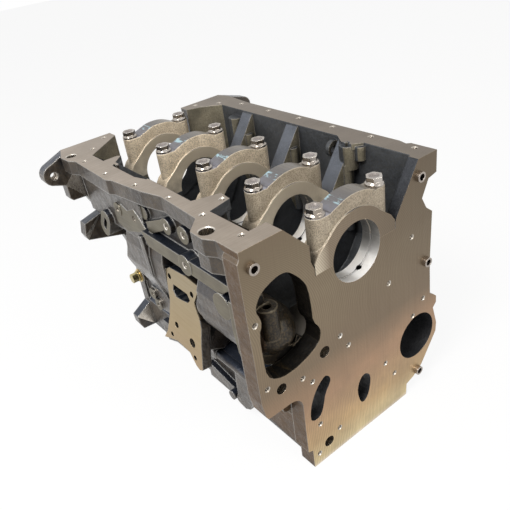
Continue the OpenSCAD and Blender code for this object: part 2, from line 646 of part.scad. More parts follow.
// Holes of the sump rail
module rail_cuts() {
    for (i = [0:5]) {
        x = front_x - 24 - rail_step * i;
        tap_z(rail_z, x, -near_hole_y[i], rail_hole / 2, tap_depth);
        tap_z(rail_z, x, far_rail - 9, rail_hole / 2, tap_depth);
    }
    for (p = [[rear_x + 12, -81], [rear_x + 41, -112], [rear_x + 12, 80], [rear_x + 38, 108]])
        tap_z(rail_z, p[0], p[1], rail_hole / 2, tap_depth);
    tap_z(rail_z, main_x(1) + 10, -near_in + 25, 2.8, tap_depth);
    tap_z(rail_z, main_x(1) + 12, far_in - 11, 2.8, tap_depth);
    // Wider holes near both ends
    tap_z(rail_z, front_x - 58, -near_rail + 5, 8, rail_z - rail_under - 3);
    tap_z(rail_z, rear_x + 39, -near_rail + 5, 6.6, rail_z - rail_under - 3);
}

// Holes of the accessory side
module accessory_cuts() {
    tap_y(-side_face - 1, main_x(1) - 20, ledge_top - 9, 3.5, tap_depth);
    for (p = [[main_x(2) + 40, crank_z + 29], [main_x(1) - 22, crank_z + 31]])
        tap_y(-side_face + 6, p[0], p[1], 3.4, tap_depth);
    bar_y(-side_face, -side_face + tap_depth + 4, main_x(3) + 7, crank_z + 10, 4);
    bar_y(-side_face, -side_face + tap_depth + 4, main_x(3) + 52, crank_z + 10, 4.5);
    along_y(-side_face - eps, -side_face + 14) polygon(concat(
        arc(main_x(3) - 38, crank_z - 20, 4.5, -28, 152, 6),
        arc(main_x(3) - 47, crank_z - 33, 4.5, 152, 332, 6)
    ));
    // Window and screw holes of the filter pad
    tilted() {
        along_y(-pad_y - eps, -pad_y + 26) polygon([
            [main_x(2) + 15, pad_z + 6], [main_x(2) + 48, pad_z + 6], [main_x(2) + 54, pad_z - 1],
            [main_x(2) + 48, pad_z - 7], [main_x(2) + 31, pad_z - 10], [main_x(2) + 19, pad_z - 11],
            [main_x(2) + 13, pad_z - 4]
        ]);
        for (p = [[7, 14, 4], [59, 10, 4], [14, -56, 4.5], [-1, -78, 3.5], [51, -65, 6.5], [55, -86, 3.5]])
            bar_y(-pad_y - eps, -pad_y + tap_depth, main_x(2) + p[0], pad_z + p[1], p[2]);
    }
    // Gallery drilling, from its socket plug towards the timing end
    bar_x(main_x(2) + 40, plate_x - 12, -gallery_y, gallery_z, 4.5);
    bar_x(main_x(2) + 34 - eps, main_x(2) + 46, -gallery_y, gallery_z, 6 + seat_clear);
    bar_y(-drain_y - eps, -deck_near + 14, drain_x, drain_z, 6 + bolt_clear);
    for (p = [[main_x(3) + 14, 138], [main_x(3) + 26, 124]]) bar_y(-side_face, -side_face + 38, p[0], p[1], 3.5);
}

// Holes of the plain side
module plain_cuts() {
    for (i = [0:2]) bar_y(jacket_y - 2, deck_far + 6, main_x(i + 1) + bore_pitch / 2, core_plug_z,
        core_plug / 2 + seat_clear);
    for (x = [main_x(1) + 30, main_x(2) + 22], z = [crank_z - 30, crank_z + 26])
        bar_y(far_wall - 8, far_wall + 13, x, z, 5);
}

// Holes of the flywheel face
module flywheel_cuts() {
    for (s = [-1, 1]) {
        bar_x(rear_x - eps, flange_x + eps, s * ear_y, ear_z - 1, 5.5);
        bar_x(rear_x - eps, rear_x + 13, s * 141, crank_z - 56, 5);
        bar_x(rear_x - eps, rear_x + 13, s * 98, 24, 5);
        bar_x(rear_x - eps, rear_x + 10, s * 142, crank_z + 18, dowel_size / 2 + seat_clear);
    }
    // Seat of the rear oil seal
    bar_x(rear_x - eps, rear_x + 5, 0, crank_z, ring_r - 4);
}

// Oil groove round the housing of bearing i, in its saddle and its cap
module oil_groove(i) {
    bar_x(main_x(i) - groove_width / 2, main_x(i) + groove_width / 2, 0, crank_z, main_r + groove_depth);
}
// Oil way from the saddle of bearing i down to the gallery
module oil_way(i) {
    translate([main_x(i), 0, crank_z]) rotate([oil_angle, 0, 0]) translate([0, 0, main_r - 4]) cylinder(h = 24, r = 3.5);
}

// One casting: barrels, deck, crankcase, bulkheads, rails and both end plates
module cylinder_block() {
    color("dimgray") difference() {
        union() {
            difference() {
                union() {
                    crankcase_solid();
                    chamber_solid();
                    sump_rail();
                    timing_plate();
                    flywheel_flange();
                    accessory_side();
                    plain_side();
                }
                crankcase_hollow();
                chamber_hollow();
                along_x(plate_x - eps, front_x + eps) timing_opening();
                cap_valley(main_x(0) - web, front_x + eps, near_in - 21, far_in - 4);
                cap_valley(rear_x - eps, flange_x + eps, cap_half + 5, cap_half - 1);
            }
            for (i = [1:3]) along_x(main_x(i) - web / 2, main_x(i) + web / 2) bulkhead_outline();
            rear_bulkhead();
            saddles();
            inner_lugs();
            opening_castings();
        }
        for (i = [0:3]) bar_z(-eps, barrel_length + 6, cylinder_x(i), 0, bore_r);
        coolant_jacket();
        bar_x(rear_x - eps, front_x + eps, 0, crank_z, main_r);
        for (i = [0:4]) {
            oil_groove(i);
            oil_way(i);
        }
        for (i = [0:4], s = [-1, 1])
            bar_z(seat_z - bolt_length - 4, crank_z + eps, main_x(i), s * cap_bolt_y, bolt_size / 2 + bolt_clear);
        timing_cuts();
        deck_cuts();
        rail_cuts();
        accessory_cuts();
        plain_cuts();
        flywheel_cuts();
    }
}

// Front view of a cap: feet, bolt seats, machined shoulder and crown
module cap_outline() {
    crown = crank_z + cap_crown;
    step = cap_bolt_y - bolt_flange / 2 - 0.7;
    polygon([
        [-cap_half, crank_z], [-cap_half, seat_z], [-step, seat_z], [-step + 1, seat_z + 1],
        [-13.5, crown - 2], [-9, crown - 0.8], [-4, crown - 0.2], [0, crown], [6, crown - 0.1],
        [12, crown - 0.7], [17, crown - 1.7], [22, crown - 3.3], [27, crown - 5.4], [step, seat_z + 1],
        [step, seat_z], [cap_half, seat_z], [cap_half, crank_z]
    ]);
}

// Main bearing cap i, its cast body inside the machined ring and feet
module main_cap(i) {
    cast = cap_reach - cap_relief;
    color("tan") difference() {
        union() {
            // Cast body with a round column at each bolt
            intersection() {
                along_x(main_x(i) - cast, main_x(i) + cast) cap_outline();
                along_z(crank_z, crank_z + cap_crown + 2) union() {
                    translate([main_x(i) - cast, -cap_bolt_y]) square([2 * cast, 2 * cap_bolt_y]);
                    for (s = [-1, 1]) translate([main_x(i), s * cap_bolt_y]) circle(r = cast);
                }
            }
            // Machined ring and feet
            along_x(main_x(i) - cap_reach, main_x(i) + cap_reach) polygon(concat(
                [[cap_half, crank_z], [cap_half, crank_z + 12], [cap_end, crank_z + 21]],
                arc(0, crank_z, ring_r, 42, 138, 12),
                [[-cap_end, crank_z + 21], [-cap_half, crank_z + 12], [-cap_half, crank_z]]
            ));
        }
        bar_x(main_x(i) - bearing_width, main_x(i) + bearing_width, 0, crank_z, main_r);
        oil_groove(i);
        for (s = [-1, 1])
            bar_z(crank_z - eps, seat_z + eps, main_x(i), s * cap_bolt_y, bolt_size / 2 + bolt_clear);
    }
}

// Flanged hexagon bolt of a cap; odd numbers stand on the accessory side
module main_bolt(n) {
    x = main_x(floor((n - 1) / 2));
    y = (n % 2 == 1 ? -1 : 1) * cap_bolt_y;
    color("silver") translate([x, y, seat_z]) difference() {
        union() {
            translate([0, 0, -bolt_length]) cylinder(h = bolt_length, d = bolt_size);
            cylinder(h = 2.5, d = bolt_flange);
            translate([0, 0, 2.5]) cylinder(h = 2.5, d1 = bolt_flange, d2 = bolt_flats);
            intersection() {
                rotate(15) cylinder(h = bolt_head, d = bolt_flats / cos(30), $fn = 6);
                cylinder(h = bolt_head, d = bolt_flats * 1.1);
            }
        }
        translate([0, 0, bolt_head - 1.6]) cylinder(h = 2, d1 = bolt_flats * 0.5, d2 = bolt_flats * 0.78);
    }
}

// Hollow dowel: a ring with its axis along X, seated to a depth and standing out of the face
module hollow_dowel(size, depth, stand) {
    color("silver") rotate([0, 90, 0]) difference() {
        translate([0, 0, -depth]) cylinder(h = depth + stand, d = size);
        translate([0, 0, -depth - eps]) cylinder(h = depth + stand + 2 * eps, r = size / 2 - dowel_wall);
    }
}
module timing_dowel(n) {
    p = timing_dowels[n - 1];
    translate([front_x, p[0], p[1]]) hollow_dowel(dowel_size, 10, dowel_stand);
}
module deck_dowel(x) {
    translate([x, -head_hole_y, 0]) rotate([0, 90, 0]) hollow_dowel(deck_dowel_size, deck_dowel_depth, 0);
}
module flywheel_dowel(side) {
    translate([rear_x, side * 142, crank_z + 18]) rotate([0, 0, 180])
        hollow_dowel(dowel_size, 10, dowel_stand);
}

// Cup-shaped core plug i of the plain side
module core_cup(i) {
    color("silver") translate([main_x(i) + bore_pitch / 2, jacket_y + 2, core_plug_z]) rotate([-90, 0, 0])
        difference() {
            cylinder(h = 11, d = core_plug);
            translate([0, 0, 2]) cylinder(h = 11, d = core_plug - 4);
        }
}

// Socket plug that closes the end of the oil gallery
module gallery_plug() {
    color("silver") translate([main_x(2) + 34, -gallery_y, gallery_z]) rotate([0, -90, 0]) difference() {
        translate([0, 0, -10]) cylinder(h = 10, r = 6);
        translate([0, 0, -5]) cylinder(h = 6, d = 6, $fn = 6);
    }
}

// Drain plug with its square head, and its washer
module drain_plug() {
    color("gold") translate([drain_x, -drain_y, drain_z]) rotate([90, 0, 0]) union() {
        translate([0, 0, -14]) cylinder(h = 16.5, r = 6);
        translate([0, 0, 2]) cylinder(h = 3, d = drain_washer_size - 4);
        translate([0, 0, 5]) intersection() {
            cylinder(h = 10, d = drain_flats / cos(30), $fn = 6);
            cylinder(h = 10, d = drain_flats * 1.1);
        }
    }
}
module drain_washer() {
    color("goldenrod") translate([drain_x, -drain_y, drain_z]) rotate([90, 0, 0]) difference() {
        cylinder(h = 2, d = drain_washer_size);
        translate([0, 0, -eps]) cylinder(h = 2 + 2 * eps, r = 6 + bolt_clear);
    }
}

cylinder_block();
main_cap(0);  // main_cap_1
main_cap(1);  // main_cap_2
main_cap(2);  // main_cap_3
main_cap(3);  // main_cap_4
main_cap(4);  // main_cap_5
main_bolt(1);  // main_bolt_1
main_bolt(2);  // main_bolt_2
main_bolt(3);  // main_bolt_3
main_bolt(4);  // main_bolt_4
main_bolt(5);  // main_bolt_5
main_bolt(6);  // main_bolt_6
main_bolt(7);  // main_bolt_7
main_bolt(8);  // main_bolt_8
main_bolt(9);  // main_bolt_9
main_bolt(10);  // main_bolt_10
timing_dowel(1);  // timing_dowel_1
timing_dowel(2);  // timing_dowel_2
timing_dowel(3);  // timing_dowel_3
timing_dowel(4);  // timing_dowel_4
deck_dowel(0.99 * main_x(0));  // deck_dowel_front
deck_dowel(0.99 * main_x(4));  // deck_dowel_rear
flywheel_dowel(-1);  // flywheel_dowel_near
flywheel_dowel(1);  // flywheel_dowel_far
core_cup(1);  // core_plug_1
core_cup(2);  // core_plug_2
core_cup(3);  // core_plug_3
gallery_plug();
drain_plug();
drain_washer();
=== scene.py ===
"""Looks of an in-line engine block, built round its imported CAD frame.

The CAD nodes keep their meshes. Each gets procedural finishes, face by face where one
casting is milled in some places and left as cast in others. The threads of the tapped
holes are wound by Geometry Nodes, in the places where the frame has holes.
"""

import copy
import json
import logging
import math
from dataclasses import dataclass, field, replace
from enum import Enum

import bpy
import numpy as np
from mathutils import Matrix, Vector

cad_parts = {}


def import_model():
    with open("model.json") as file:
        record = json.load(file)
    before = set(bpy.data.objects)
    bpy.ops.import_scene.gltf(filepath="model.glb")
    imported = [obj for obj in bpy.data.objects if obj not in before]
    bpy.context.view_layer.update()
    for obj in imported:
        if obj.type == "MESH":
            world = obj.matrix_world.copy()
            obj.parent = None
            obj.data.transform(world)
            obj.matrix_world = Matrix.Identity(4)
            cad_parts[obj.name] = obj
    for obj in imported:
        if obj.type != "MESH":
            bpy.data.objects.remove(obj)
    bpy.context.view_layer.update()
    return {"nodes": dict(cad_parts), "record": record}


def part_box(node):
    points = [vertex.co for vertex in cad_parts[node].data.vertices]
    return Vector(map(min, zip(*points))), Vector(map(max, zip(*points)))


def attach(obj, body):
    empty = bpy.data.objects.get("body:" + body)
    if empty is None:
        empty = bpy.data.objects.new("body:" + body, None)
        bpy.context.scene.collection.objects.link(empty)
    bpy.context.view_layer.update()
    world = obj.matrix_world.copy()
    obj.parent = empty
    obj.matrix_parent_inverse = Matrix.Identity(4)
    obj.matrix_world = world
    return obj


LOG = logging.getLogger("engine_block")
MM = 0.001
BODY = "root"
CYLINDERS = 4
MAINS = 5

Colour = tuple[float, float, float]
Point = tuple[float, float, float]
Box = tuple[Point, Point]
Stops = tuple[tuple[float, Colour], ...]
Socket = bpy.types.NodeSocket
Inputs = dict[str | int, object]


class Axis(Enum):
    """A direction of the frame."""

    X = 0
    Y = 1
    Z = 2

    @property
    def unit(self) -> Vector:
        """The direction as a unit vector."""
        return Vector([float(i == self.value) for i in range(3)])

    @property
    def others(self) -> list[int]:
        """The numbers of the other two directions."""
        return [i for i in range(3) if i != self.value]


# ---- Places of the block, read from the frame, in metres ----


@dataclass(frozen=True)
class BlockPlaces:
    """The block's main planes and axes, measured on the frame's nodes."""

    front_x: float
    rear_x: float
    rail_z: float
    crank_z: float
    mains: tuple[float, ...]
    cylinders: tuple[float, ...]
    main_r: float
    cylinder_r: float
    cap_half_length: float

    @classmethod
    def measure(cls, record: dict) -> "BlockPlaces":
        """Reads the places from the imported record's mounts and the caps' boxes.

        Args:
            record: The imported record.

        Returns:
            The places, in metres.
        """
        mounts = {m["name"]: m for m in record["mounts"]}
        caps = [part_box(f"main_cap_{i}") for i in range(1, MAINS + 1)]
        return cls(
            front_x=mounts["timing_face"]["pos_m"][0],
            rear_x=mounts["flywheel_face"]["pos_m"][0],
            rail_z=mounts["sump_rail"]["pos_m"][2],
            crank_z=mounts["main_bore"]["pos_m"][2],
            mains=tuple((low.x + high.x) / 2 for low, high in caps),
            cylinders=tuple(mounts[f"cylinder_{i}"]["pos_m"][0] for i in range(1, CYLINDERS + 1)),
            main_r=mounts["main_bore"]["dims"]["r_mm"] * MM,
            cylinder_r=mounts["cylinder_1"]["dims"]["r_mm"] * MM,
            cap_half_length=(caps[0][1].x - caps[0][0].x) / 2,
        )


# ---- Node trees ----


class NodeSheet:
    """A node tree with short calls that add and join its nodes."""

    def __init__(self, tree: bpy.types.NodeTree) -> None:
        """Keeps the tree, without the nodes that it starts with."""
        self.tree = tree
        tree.nodes.clear()

    def node(self, kind: str, inputs: Inputs | None = None, **props: object) -> bpy.types.Node:
        """Adds a node.

        Args:
            kind: The node's type name.
            inputs: What each input gets, a value or the socket that feeds it.
            **props: Properties of the node.

        Returns:
            The node.
        """
        made = self.tree.nodes.new(kind)
        for key, value in props.items():
            setattr(made, key, value)
        for key, value in (inputs or {}).items():
            self.feed(made.inputs[key], value)
        return made

    def feed(self, target: Socket, value: object) -> None:
        """Joins an output socket to an input, or gives the input a plain value.

        Args:
            target: The input.
            value: The output socket or the value.
        """
        if isinstance(value, Socket):
            self.tree.links.new(value, target)
        else:
            target.default_value = value

    def arithmetic(self, kind: str, first: Socket | float, second: Socket | float = 0.0) -> Socket:
        """One step of arithmetic, named by its kind, on sockets or numbers."""
        return self.node("ShaderNodeMath", {0: first, 1: second}, operation=kind).outputs[0]

    def times(self, first: Socket | float, second: Socket | float) -> Socket:
        """The product of two sockets or numbers."""
        return self.arithmetic("MULTIPLY", first, second)


class Sheet(NodeSheet):
    """A material's node tree, with the patterns that the finishes use."""

    ray_samples = 6
    noise_roughness = 0.6
    noise_shift = (1.0, 0.7, -1.0)
    pocket_light = (0.3, 0.85)
    edge_likeness = (0.82, 0.985)
    arc_height = 0.21
    arc_radius = 0.13
    arc_pitch = 0.0027
    arc_wander = 1.5
    arc_wander_mm = 30.0

    def __init__(self, name: str) -> None:
        """Starts a material with a Principled shader and Object coordinates.

        Args:
            name: The material's name.
        """
        self.material = bpy.data.materials.new(name)
        self.material.use_nodes = True
        super().__init__(self.material.node_tree)
        self.shader = self.node("ShaderNodeBsdfPrincipled")
        self.node("ShaderNodeOutputMaterial", {"Surface": self.shader.outputs["BSDF"]})
        source = self.node("ShaderNodeTexCoord")
        self.place = source.outputs["Object"]
        self.turned = source.outputs["Normal"]

    def skin(self, colour: Socket, rough: Socket, normal: Socket) -> None:
        """Gives the shader its colour, roughness and relief."""
        for name, socket in (("Base Color", colour), ("Roughness", rough), ("Normal", normal)):
            self.feed(self.shader.inputs[name], socket)

    def noise(self, size_mm: float, detail: float, stretch: Point = (1, 1, 1), seed: float = 0.0) -> Socket:
        """Noise whose grains are about one size, from 0 to 1.

        Args:
            size_mm: Size of a grain in millimetres.
            detail: Octaves of finer noise.
            stretch: How many times the pattern is squeezed along each axis.
            seed: Shift that gives each use its own pattern.

        Returns:
            The noise's factor.
        """
        mapping = self.node("ShaderNodeMapping", {
            "Location": tuple(seed * s for s in self.noise_shift),
            "Scale": tuple(s / (size_mm * MM) for s in stretch),
            "Vector": self.place,
        })
        return self.node("ShaderNodeTexNoise", {
            "Scale": 1.0, "Detail": detail, "Roughness": self.noise_roughness,
            "Vector": mapping.outputs["Vector"],
        }).outputs["Fac"]

    def spread(self, value: Socket, low: float, high: float, start: float = 0.3, end: float = 0.7) -> Socket:
        """Spreads the middle of a factor over a range of values.

        Args:
            value: The factor.
            low: Result at and under start.
            high: Result at and over end.
            start: Factor at which the range starts.
            end: Factor at which the range ends.

        Returns:
            The spread value.
        """
        return self.node("ShaderNodeMapRange", {
            "From Min": start, "From Max": end, "To Min": low, "To Max": high, "Value": value,
        }, clamp=True).outputs["Result"]

    def mix(self, share: Socket, first: Socket | Colour, second: Socket | Colour) -> Socket:
        """Mixes two colours, each a socket or a plain colour.

        Args:
            share: Share of the second colour.
            first: The first colour.
            second: The second colour.

        Returns:
            The mixed colour.
        """
        made = self.node("ShaderNodeMix", {"Factor": share}, data_type="RGBA")
        for name, colour in (("A", first), ("B", second)):
            socket = next(s for s in made.inputs if s.name == name and s.type == "RGBA")
            self.feed(socket, colour if isinstance(colour, Socket) else (*colour, 1.0))
        return next(s for s in made.outputs if s.type == "RGBA")

    def part(self, vector: Socket, axis: Axis) -> Socket:
        """A vector's coordinate along an axis."""
        return self.node("ShaderNodeSeparateXYZ", {"Vector": vector}).outputs[axis.value]

    def height(self, axis: Axis, low: float, high: float) -> Socket:
        """A factor that rises from 0 to 1 between two places along an axis, in metres."""
        return self.spread(self.part(self.place, axis), 0.0, 1.0, low, high)

    def facing(self, axis: Axis, start: float, end: float) -> Socket:
        """A factor that rises as the surface turns to face along an axis."""
        return self.spread(self.part(self.turned, axis), 0.0, 1.0, start, end)

    def ramp(self, axis: Axis, stops: Stops) -> Socket:
        """A colour that changes along an axis.

        Args:
            axis: The axis.
            stops: Places along it in metres, rising, each with its colour.

        Returns:
            The colour.
        """
        low, high = stops[0][0], stops[-1][0]
        made = self.node("ShaderNodeValToRGB", {"Fac": self.height(axis, low, high)})
        elements = made.color_ramp.elements
        while len(elements) < len(stops):
            elements.new(0.5)
        for element, (place, colour) in zip(elements, stops):
            element.position = (place - low) / (high - low)
            element.color = (*colour, 1.0)
        return made.outputs["Color"]

    def cutter_arcs(self) -> Socket:
        """Waves from 0 to 1 along the arcs that a wide cutter leaves as it is fed along Y.

        Returns:
            The waves' factor.
        """
        place = self.node("ShaderNodeSeparateXYZ", {"Vector": self.place}).outputs
        off = self.arithmetic("SUBTRACT", place["Z"], self.arc_height)
        rest = self.arithmetic("SUBTRACT", self.arc_radius**2, self.times(off, off))
        bow = self.arithmetic("SQRT", self.arithmetic("MAXIMUM", rest, 0.0))
        wander = self.noise(self.arc_wander_mm, detail=2, seed=9.0)
        wander = self.times(wander, self.arc_pitch * self.arc_wander)
        phase = self.arithmetic("ADD", self.arithmetic("SUBTRACT", place["Y"], bow), wander)
        wave = self.arithmetic("SINE", self.times(phase, 2 * math.pi / self.arc_pitch))
        return self.spread(wave, 0.0, 1.0, -1.0, 1.0)

    def rounded(self, radius_mm: float) -> Socket:
        """The surface's normal with its edges rounded to a radius."""
        made = self.node("ShaderNodeBevel", {"Radius": radius_mm * MM}, samples=self.ray_samples)
        return made.outputs["Normal"]

    def painted_recess_shade(self, reach_mm: float, share: float) -> Socket:
        """A factor of painted shade that rises to a share in corners and pockets, where less light reaches.
        """
        made = self.node("ShaderNodeAmbientOcclusion", {"Distance": reach_mm * MM}, samples=self.ray_samples)
        return self.spread(made.outputs["AO"], share, 0.0, *self.pocket_light)

    def edges(self, radius_mm: float, share: float) -> Socket:
        """A factor of painted highlight that rises along sharp edges, partly also skin rubbed bright.

        Args:
            radius_mm: How far from the edge it starts.
            share: The factor on the edge.

        Returns:
            The factor.
        """
        normals = {0: self.rounded(radius_mm), 1: self.node("ShaderNodeNewGeometry").outputs["Normal"]}
        alike = self.node("ShaderNodeVectorMath", normals, operation="DOT_PRODUCT")
        return self.spread(alike.outputs["Value"], share, 0.0, *self.edge_likeness)

    def bump(self, value: Socket, depth_mm: float, normal: Socket) -> Socket:
        """Raises a normal's surface by a factor times a depth."""
        made = self.node("ShaderNodeBump", {"Distance": depth_mm * MM, "Height": value, "Normal": normal})
        return made.outputs["Normal"]


# ---- Finishes ----


@dataclass(frozen=True)
class Finish:
    """What every finish of the block has."""

    name: str
    metallic: float = 1.0
    edge_mm: float = 0.6
    specular: float = 0.5

    def material(self) -> bpy.types.Material:
        """Builds the finish's material, unless it is there already.

        Returns:
            The material.
        """
        known = bpy.data.materials.get(self.name)
        if known is not None:
            return known
        sheet = Sheet(self.name)
        sheet.shader.inputs["Metallic"].default_value = self.metallic
        sheet.shader.inputs["Specular IOR Level"].default_value = self.specular
        self.paint(sheet)
        return sheet.material

    def paint(self, sheet: Sheet) -> None:
        """Links colour, roughness and relief to the shader."""
        raise NotImplementedError


@dataclass(frozen=True)
class CastFinish(Finish):
    """Sand-cast iron: blotched colour, a grain of sand and gentle waves, under a film of oil."""

    dark: Colour = (0.05, 0.045, 0.04)
    light: Colour = (0.16, 0.14, 0.115)
    sheen_tint: Colour = (0.10, 0.12, 0.17)
    blotch_mm: float = 45.0
    grain_mm: float = 1.3
    grain_depth_mm: float = 0.35
    wave_mm: float = 14.0
    wave_depth_mm: float = 1.2
    rough: tuple[float, float] = (0.35, 0.6)
    oil: float = 0.3
    oil_rough: float = 0.18
    speckle: float = 0.45
    # Painted sky reflection: a tint for cast faces that look up.
    upward_sky_reflection: Colour | None = None
    upward_facing: tuple[float, float] = (0.15, 0.8)
    speck_size: float = 1.6
    speck_range: tuple[float, float] = (0.45, 0.62)
    rough_size: float = 0.4
    # Painted shade in corners and pockets.
    recess_shade_tint: Colour = (0.012, 0.014, 0.02)
    recess_shade_share: float = 0.0
    recess_mm: float = 22.0
    # Painted highlight along the edges, partly also rubbed wear.
    edge_highlight_tint: Colour = (0.42, 0.39, 0.35)
    edge_highlight_share: float = 0.0

    def painted_lighter(self, share: float) -> "CastFinish":
        """The same skin, a number of times as light: a painted lit or shaded copy."""
        tints = {key: tuple(c * share for c in getattr(self, key)) for key in ("dark", "light", "sheen_tint")}
        return replace(self, name=f"{self.name}_{round(100 * share)}", **tints)

    def paint(self, sheet: Sheet) -> None:
        """Links the cast skin to the shader.

        Args:
            sheet: The material's tree.
        """
        blotch = sheet.spread(sheet.noise(self.blotch_mm, detail=4), 0.0, 1.0)
        base = sheet.mix(blotch, self.dark, self.light)
        # Faces that look up get a painted sky reflection tint.
        if self.upward_sky_reflection is not None:
            base = sheet.mix(sheet.facing(Axis.Z, *self.upward_facing), base, self.upward_sky_reflection)
        speck = sheet.noise(self.grain_mm * self.speck_size, detail=2, seed=3.1)
        base = sheet.mix(sheet.spread(speck, 0.0, self.speckle, *self.speck_range), base, self.sheen_tint)
        # Painted shade: darker in corners and pockets.
        if self.recess_shade_share > 0.0:
            base = sheet.mix(sheet.painted_recess_shade(self.recess_mm, self.recess_shade_share), base, self.recess_shade_tint)
        # Painted highlight along the edges, partly also rubbed wear.
        if self.edge_highlight_share > 0.0:
            base = sheet.mix(sheet.edges(self.edge_mm, self.edge_highlight_share), base, self.edge_highlight_tint)
        rough = sheet.spread(sheet.noise(self.blotch_mm * self.rough_size, detail=4, seed=7.7), *self.rough)
        normal = sheet.rounded(self.edge_mm)
        normal = sheet.bump(sheet.noise(self.wave_mm, detail=2, seed=1.3), self.wave_depth_mm, normal)
        normal = sheet.bump(sheet.noise(self.grain_mm, detail=3, seed=5.9), self.grain_depth_mm, normal)
        sheet.skin(base, rough, normal)
        coat = sheet.shader.inputs
        coat["Coat Weight"].default_value = self.oil
        coat["Coat Roughness"].default_value = self.oil_rough
        sheet.feed(coat["Coat Normal"], normal)


@dataclass(frozen=True)
class MilledFinish(Finish):
    """A milled face: two tints, fine tool lines and a trace of staining."""

    tint: Colour = (0.36, 0.31, 0.24)
    stain: Colour = (0.27, 0.22, 0.17)
    steps: Stops = ()
    step_axis: Axis = Axis.Z
    arc_share: float = 0.0
    along: Axis = Axis.Y
    line_mm: float = 1.1
    line_depth_mm: float = 0.02
    line_stretch: float = 0.02
    stain_mm: float = 60.0
    stain_share: float = 1.0
    streak: float = 0.25
    streak_range: tuple[float, float] = (0.35, 0.75)
    line_shade: float = 0.72
    arc_shade: float = 0.4
    upper_shade: float = 0.5
    # How much lighter the painted edge highlight is.
    edge_highlight_gain: float = 2.2
    edge_highlight_share: float = 0.3
    paint_band: tuple[float, float] | None = None
    paint_tint: Colour = (0.50, 0.72, 0.78)
    paint_mm: float = 7.0
    paint_stretch: Point = (0.6, 1.6, 1.0)
    paint_share: float = 0.8
    paint_range: tuple[float, float] = (0.48, 0.58)
    paint_soft: float = 1 * MM
    far_shade: float = 0.0
    far_reach: tuple[float, float] = (-0.08, 0.12)
    far_rise: tuple[float, float] = (0.13, 0.27)
    rough: tuple[float, float] = (0.32, 0.5)

    def paint(self, sheet: Sheet) -> None:
        """Links the milled skin to the shader.

        Args:
            sheet: The material's tree.
        """
        stretch = [1.0, 1.0, 1.0]
        stretch[self.along.value] = self.line_stretch
        lines = sheet.noise(self.line_mm, detail=3, stretch=tuple(stretch))
        stains = sheet.spread(sheet.noise(self.stain_mm, detail=5, seed=2.2), 0.0, 1.0)
        tint = sheet.ramp(self.step_axis, self.steps) if self.steps else self.tint
        base = sheet.mix(sheet.times(stains, self.stain_share), tint, self.stain)
        streaks = sheet.spread(lines, 0.0, self.streak, *self.streak_range)
        base = sheet.mix(streaks, base, self._shaded(self.line_shade))
        if self.arc_share > 0.0:
            arcs = sheet.times(sheet.cutter_arcs(), self.arc_share)
            base = sheet.mix(arcs, base, self._shaded(self.arc_shade))
        if self.far_shade > 0.0:
            upper = sheet.times(sheet.height(Axis.Y, *self.far_reach), sheet.height(Axis.Z, *self.far_rise))
            base = sheet.mix(sheet.times(upper, self.far_shade), base, self._shaded(self.upper_shade))
        if self.paint_band is not None:
            base = sheet.mix(self._dab(sheet, *self.paint_band), base, self.paint_tint)
        # Painted highlight along the edges, partly also rubbed wear.
        edges = sheet.edges(self.edge_mm, self.edge_highlight_share)
        base = sheet.mix(edges, base, self._shaded(self.edge_highlight_gain))
        rough = sheet.spread(lines, *self.rough)
        sheet.skin(base, rough, sheet.bump(lines, self.line_depth_mm, sheet.rounded(self.edge_mm)))

    def _shaded(self, share: float) -> Colour:
        """The tint, a number of times as light and no lighter than white."""
        return tuple(min(1.0, c * share) for c in self.tint)

    def _dab(self, sheet: Sheet, start: float, end: float) -> Socket:
        """A factor of 1 on an uneven dab of marking paint.

        Args:
            sheet: The material's tree.
            start: Where its band starts across the crankshaft, in metres.
            end: Where the band ends.

        Returns:
            The factor.
        """
        soft = self.paint_soft
        after = sheet.height(Axis.Y, start - soft, start + soft)
        before = sheet.arithmetic("SUBTRACT", 1.0, sheet.height(Axis.Y, end - soft, end + soft))
        patch = sheet.noise(self.paint_mm, detail=2, stretch=self.paint_stretch, seed=6.5)
        patch = sheet.spread(patch, 0.0, self.paint_share, *self.paint_range)
        return sheet.times(sheet.times(after, before), patch)


@dataclass(frozen=True)
class SteelFinish(Finish):
    """Plain or plated steel of a bolt, dowel or plug, with faint scratches."""

    tint: Colour = (0.55, 0.53, 0.50)
    worn: Colour = (0.38, 0.34, 0.29)
    patch_mm: float = 9.0
    rough: tuple[float, float] = (0.2, 0.38)
    scratch_mm: float = 0.01
    scratch_width_mm: float = 0.7
    scratch_stretch: Point = (1.0, 1.0, 0.1)
    # Painted highlight along the edges.
    edge_highlight_share: float = 0.0
    edge_size: float = 0.7
    edge_highlight_tint: Colour = (0.92, 0.90, 0.88)
    # Painted shade deep in holes.
    depth_mm: float = 0.0
    hole_shade_share: float = 0.95
    hole_shade_tint: Colour = (0.012, 0.010, 0.008)

    def paint(self, sheet: Sheet) -> None:
        """Links the steel skin to the shader.

        Args:
            sheet: The material's tree.
        """
        base = sheet.mix(sheet.spread(sheet.noise(self.patch_mm, detail=5), 0.0, 1.0), self.tint, self.worn)
        # Painted highlight along the edges.
        if self.edge_highlight_share > 0.0:
            edges = sheet.edges(self.edge_mm * self.edge_size, self.edge_highlight_share)
            base = sheet.mix(edges, base, self.edge_highlight_tint)
        # Painted shade: darker deep in holes.
        if self.depth_mm > 0.0:
            base = sheet.mix(sheet.painted_recess_shade(self.depth_mm, self.hole_shade_share), base, self.hole_shade_tint)
        scratch = sheet.noise(self.scratch_width_mm, detail=2, stretch=self.scratch_stretch, seed=4.0)
        rough = sheet.spread(scratch, *self.rough)
        sheet.skin(base, rough, sheet.bump(scratch, self.scratch_mm, sheet.rounded(self.edge_mm)))


